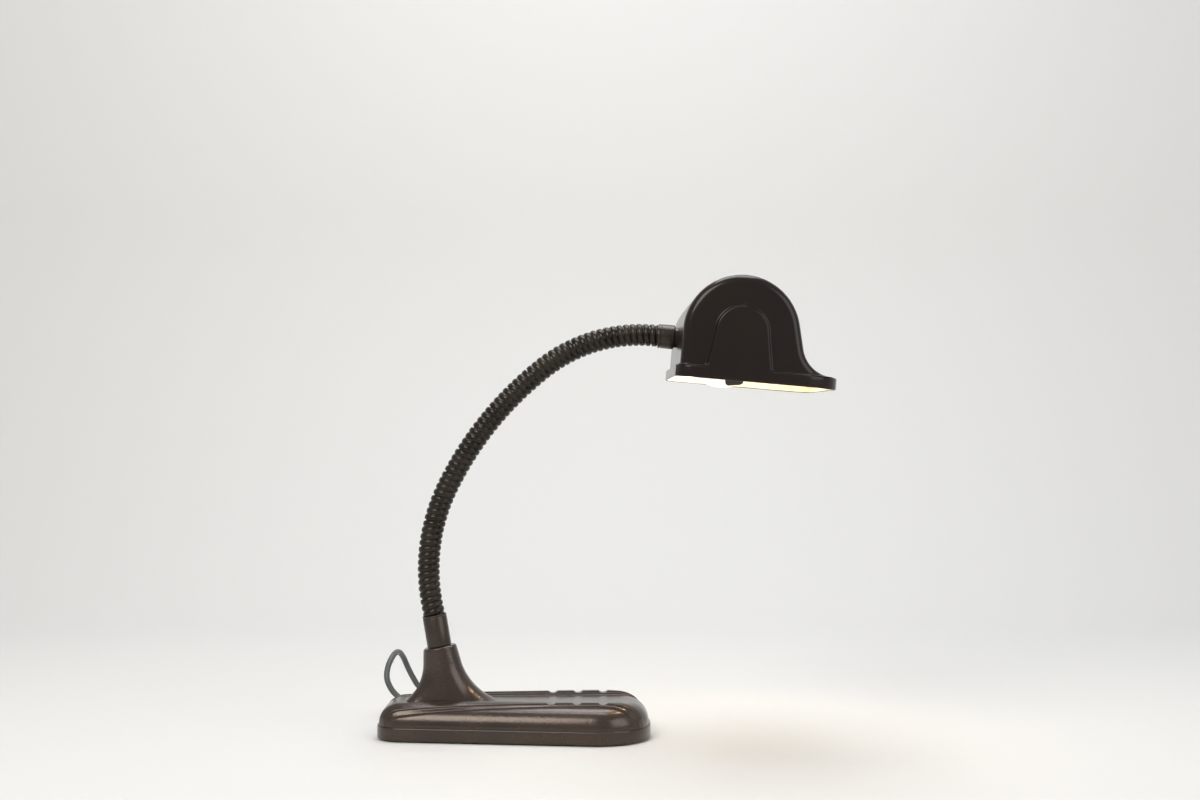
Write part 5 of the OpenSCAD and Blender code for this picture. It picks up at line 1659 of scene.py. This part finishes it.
@dataclass
class Cord:
    """The mains cord: its strain relief, run and stiff loop, its coil with the tie, its tail and its plug."""

    base: Base
    diameter: float = 4.5
    run: tuple[Point, ...] = (
        (-77.5, 52.6, 5.8), (-79.5, 60, 7), (-84, 66, 10), (-91, 70, 15), (-98, 72.5, 21.5),
        (-102, 75.5, 29.5), (-102, 80.5, 37.5), (-100, 88, 43.5), (-98, 97, 46.5), (-96, 106.5, 45.5),
        (-94, 115, 40.5), (-91.5, 121, 32.5), (-88, 125, 24), (-83.5, 127.5, 16), (-76.5, 129, 9.5),
        (-68, 128.3, 5.2), (-59.5, 124.8, 3), (-51.5, 118.5, 2.4), (-45.3, 109.5, 2.3), (-42.2, 99, 2.3))
    tail: tuple[Point, ...] = (
        (-9.5, 49.6, 14.4), (0.5, 48.6, 10), (10.5, 49.6, 6.4), (20, 52.5, 4.6), (29, 56.2, 4.8),
        (37, 59.2, 6.3), (45, 60, 7.2))
    outlet_height: float = 5.5
    outlet_depth: float = 6
    coil: Point = (-10, 84, 0)
    coil_radius: float = 27
    rise: tuple[Point, ...] = (
        (180, 22.6, 11.4), (195, 23.3, 12.9), (210, 24.9, 15.1), (225, 27.2, 15.9), (240, 30, 16.0),
        (253, 32.5, 15.7))
    tie_turn: float = 0.7
    plug: Point = (44, 60, 7.25)

    def __post_init__(self) -> None:
        """Works out the outlet and the strain relief's frame."""
        b = self.base
        self.on_outlet = (shift(b.rear.x, b.rear.y, self.outlet_height) @ turn("Z", b.normal_angle)
                          @ shift(b.rear_radius, -self.outlet_depth, 0) @ turn("Y", 90))
        self.outlet = self.on_outlet.to_translation()

    def turns(self) -> list[Point]:
        """The coil's turns, three by three, counterclockwise, and the crossing over them to the tail."""
        d = self.diameter
        order = [(1, 0), (0, 0), (-1, 0), (-1, 1), (0, 1), (1, 1), (1, 2), (0, 2), (-1, 2)]
        spots = [(self.coil_radius + d * row, d / 2 + d * layer) for row, layer in order]
        points, per = [], 24
        for (radius, z), (later, higher) in zip(spots, spots[1:] + spots[-1:]):
            for i in range(per):
                share = smooth((i / per - 0.8) / 0.2)
                points.append((180 + 360 * i / per, radius + (later - radius) * share,
                               z + (higher - z) * share))
        turned = [(math.radians(a), r, z) for a, r, z in (*points, *self.rise)]
        return [(self.coil[0] + r * math.cos(a), self.coil[1] + r * math.sin(a), z) for a, r, z in turned]

    def route(self) -> list[Vector]:
        """The whole cord's centre line, from the outlet to the plug."""
        points = [tuple(self.outlet), *self.run, *self.turns(), *self.tail]
        return smooth_path(points, 2.2)

    def relief(self, palette: Palette) -> None:
        """Adds the ribbed, tapered strain relief."""
        profile: Flat = [(2.35, -6), (3.4, -6), (3.4, 0), (4.3, 0.05), (4.35, 1.0), (4.1, 1.4)]
        for i in range(6):
            z, r = 2.4 + 3.0 * i, 3.45 - 0.07 * i
            profile += [(r, z), (r, z + 1.5), (r - 0.5, z + 1.8), (r - 0.5, z + 2.7)]
        profile += [(2.95, 21.0), (2.75, 22.0), (2.35, 22.0)]
        Maker.turned("cord_relief_ribbed", profile, self.on_outlet, FEW_SIDES, palette["plug_vinyl"],
                     "cord_rubber", "base", "cord_relief")

    def plug_pieces(self, palette: Palette) -> bpy.types.Object:
        """The moulded plug: a neck, a waisted grip with ribs and a rounded face."""
        stations = [
            (-6, 2.9, 2.9), (-3, 3.4, 3.3), (0, 5.2, 4.6), (1.5, 8.0, 6.4), (3.5, 8.6, 6.9),
            (5, 8.2, 6.4), (6.2, 8.7, 6.9), (7.4, 8.3, 6.5), (8.6, 8.9, 7.0), (9.8, 8.6, 6.6), (11, 9.3, 7.1),
            (14, 10.0, 7.2), (18, 10.6, 7.22), (24.6, 11.0, 7.22), (25.6, 10.8, 7.05), (26, 10.2, 6.6)]

        def bulge(value: float, x: float) -> float:
            """A cosine or sine, pushed towards a box's corners where the plug is flat."""
            return math.copysign(abs(value) ** (0.9 if x < 0 else 0.55), value)

        angles = circle(FEW_SIDES)
        rings = [[Vector((x, half * bulge(math.cos(a), x), tall * bulge(math.sin(a), x))) for a in angles]
                 for x, half, tall in stations]
        mesh = Form().rings(rings, shift(*self.plug)).mesh("plug_moulded", 55)
        return Maker.piece("plug_moulded", mesh, [palette["plug_vinyl"]], "cord_rubber", "base",
                           ["plug_body"])

    def tie(self, palette: Palette) -> bpy.types.Object:
        """The flat tie round the coil."""
        reach, high, wide, thick = 7.1, 13.8, 2.0, 0.5

        outer, inner = oblong(reach, 0.1, high, 2.2, 6), oblong(reach - thick, 0.5, high - thick, 1.8, 6)
        spot = (self.coil_radius * math.cos(self.tie_turn), self.coil_radius * math.sin(self.tie_turn), 0)
        place = shift(*self.coil) @ shift(*spot) @ turn("Z", math.degrees(self.tie_turn))
        rings = [[Vector((x, y, z)) for x, z in flat]
                 for y, flat in ((-wide, inner), (-wide, outer), (wide, outer), (wide, inner))]
        mesh = Form().rings(rings, place, caps=False, loop=True).mesh("coil_tie")
        return Maker.piece("coil_tie", mesh, [palette["tie_paper"]], "paper_liner", "base")

    def dress(self, palette: Palette) -> None:
        path = self.route()
        length = sum((b - a).length for a, b in zip(path, path[1:]))
        LOG.info("cord length %.1f mm in %d points", length, len(path))
        mesh = Form().tube(path, self.diameter / 2, 14).mesh("mains_cord", 60)
        cord = Maker.piece("mains_cord", mesh, [palette["cord_vinyl"]], "cord_rubber", "base",
                           ["cord_run", "cord_coil"])
        self.relief(palette)
        plug, tie = self.plug_pieces(palette), self.tie(palette)
        [tuple(p * MM) for p in path]


# ---- the studio ----


@dataclass
class Studio:
    """The camera, the floor, the backdrop and the lamps that light the object."""

    hood: Hood
    place: Point = (62, -1244, 233)
    lens: float = 51.4
    rise: float = 0.0121

    def camera(self) -> None:
        """Adds the camera, level and square to the object."""
        data = bpy.data.cameras.new("camera")
        data.lens, data.sensor_width, data.shift_y = self.lens, 36.0, self.rise
        data.clip_start, data.clip_end = 0.01, 30.0
        camera = add("camera", data)
        camera.location = Vector(self.place) * MM
        camera.rotation_euler = (math.pi / 2, 0, 0)
        bpy.context.scene.camera = camera

    @staticmethod
    def seen(w: Wiring) -> Socket:
        """1 for what the camera sees, straight or in gloss or glass, and 0 for light."""
        path = w.node("ShaderNodeLightPath").outputs
        either = w.math("MAXIMUM", path["Is Camera Ray"], path["Is Glossy Ray"])
        return w.math("MAXIMUM", either, path["Is Transmission Ray"])

    def paint(self) -> bpy.types.Material:
        """The stage's paint: plain and pale, paler far away, and see-through from behind."""
        material = bpy.data.materials.new("floor")
        material.use_nodes = True
        w = Wiring(material.node_tree)
        skin, out = material.node_tree.nodes["Principled BSDF"], material.node_tree.nodes["Material Output"]
        skin.inputs["Base Color"].default_value = (0.70, 0.69, 0.67, 1)
        skin.inputs["Roughness"].default_value = 0.75
        skin.inputs["Emission Color"].default_value = (1.0, 0.99, 0.98, 1)
        away = w.vector("LENGTH", w.node("ShaderNodeTexCoord").outputs["Object"])["Value"]
        haze = w.node("ShaderNodeMapRange", interpolation_type="SMOOTHSTEP", Value=away, From_Min=0.9,
                      From_Max=3.4, To_Max=0.34)
        w.feed(skin.inputs["Emission Strength"], w.math("MULTIPLY", haze.outputs["Result"], self.seen(w)))
        either = w.node("ShaderNodeMixShader")
        clear = w.node("ShaderNodeBsdfTransparent").outputs["BSDF"]
        behind = w.node("ShaderNodeNewGeometry").outputs["Backfacing"]
        for into, value in zip(either.inputs, (behind, skin.outputs["BSDF"], clear)):
            w.feed(into, value)
        w.feed(out.inputs["Surface"], either.outputs["Shader"])
        return material

    def stage(self) -> None:
        """Adds the floor and the backdrop behind it, facing the object, all in metres."""
        half, back, high, bend = 5.0, 1.1, 2.2, 0.5
        profile = [(-half, 0.0)] + arc(back - bend, bend, bend, -90, 0, 16) + [(back, high)]
        mesh = bpy.data.meshes.new("floor")
        points = [(x, y, z) for y, z in profile for x in (-half, half)]
        faces = [(2 * i, 2 * i + 1, 2 * i + 3, 2 * i + 2) for i in range(len(profile) - 1)]
        mesh.from_pydata(points, [], faces)
        mesh.shade_smooth()
        mesh.materials.append(self.paint())
        floor = add("floor", mesh)

    def lamp(self, name: str, spot: Point, target: Point, size: float, watts: float,
             color: Color) -> None:
        """Adds one soft lamp.

        Args:
            name: Its name.
            spot: Where it stands, in metres.
            target: What it points at, in metres.
            size: Width of its face in metres.
            watts: Its power.
            color: Its colour.
        """
        data = bpy.data.lights.new(name, "AREA")
        data.size, data.energy, data.color = size, watts, color
        light = add(name, data)
        light.location = spot
        light.rotation_euler = (Vector(target) - Vector(spot)).to_track_quat("-Z", "Y").to_euler()

    def light(self) -> None:
        """Adds the lamps and the world."""
        self.lamp("key", (-0.7, -1.2, 1.3), (0.02, 0, 0.15), 0.9, 18, (1.0, 0.95, 0.87))
        self.lamp("fill", (1.3, -0.9, 0.8), (0.02, 0, 0.12), 1.1, 8, (0.96, 0.98, 1.0))
        self.lamp("top", (0.1, 0.3, 1.5), (0.02, 0, 0.1), 0.9, 14, (0.92, 0.96, 1.0))
        for name, spot, watts in (("glow_front", (80, 18, -10), 0.22), ("glow_back", (13, 66, -16), 0.12)):
            data = bpy.data.lights.new(name, "POINT")
            data.energy, data.color, data.shadow_soft_size = watts, (1.0, 0.80, 0.55), 0.006
            light = add(name, data)
            light.location = (self.hood.place @ Vector(spot)) * MM
            light.visible_camera = False
        world = bpy.data.worlds.new("world")
        world.use_nodes = True
        w = Wiring(world.node_tree)
        sky = world.node_tree.nodes["Background"]
        sky.inputs["Color"].default_value = (0.95, 0.96, 1.0, 1)
        strength = w.node("ShaderNodeMapRange", Value=self.seen(w), To_Min=0.35, To_Max=0.52)
        w.feed(sky.inputs["Strength"], strength.outputs["Result"])
        bpy.context.scene.world = world
        bpy.context.scene.view_settings.view_transform = "Standard"


CARRIED = {
    "bottom_plate": "zinc_plate", "felt_pad": "green_felt", "stem_nipple": "tarnished_brass",
    "stem_washer": "zinc_plate", "stem_locknut": "tarnished_brass", "base_lead": "lead_cotton",
    "plug_blades": "blade_nickel",
    "hood_nipple": "tarnished_brass", "hood_washer": "zinc_plate", "hood_locknut": "tarnished_brass",
    "socket_nipple": "tarnished_brass", "socket_nut": "tarnished_brass", "socket_liner": "fibre_liner",
    "socket_core": "dark_phenolic", "terminal_screws": "tarnished_brass", "centre_contact": "tarnished_brass",
    "socket_lead": "lead_cotton", "bulb_filament": "filament_wire", "key_shaft": "key_steel",
}


def dress_carried(frame: dict, palette: Palette) -> None:
    """Gives the CAD nodes that stay their finishes.

    Args:
        frame: The loaded frame.
        palette: The materials.
    """
    for name, finish in CARRIED.items():
        node = frame["nodes"][name]
        for thing in (c for c in (node, *node.children_recursive) if c.type == "MESH"):
            if not thing.data.materials:
                thing.data.materials.append(None)
            for place in thing.material_slots:
                place.material = palette[finish]
        LOG.info("node %s: %s", name, finish)


def main() -> None:
    """Builds the studio and every sub-assembly, in order."""
    logging.basicConfig(level=logging.INFO, format="%(message)s")
    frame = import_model()
    palette = Palette()
    base = Base()
    neck = Neck(base)
    hood = Hood(neck)
    studio = Studio(hood)
    studio.camera()
    Cord(base).dress(palette)
    for part in (base, neck, hood, Holder(hood)):
        part.dress(palette)
    dress_carried(frame, palette)
    studio.stage()
    studio.light()


if __name__ == "__main__":
    main()
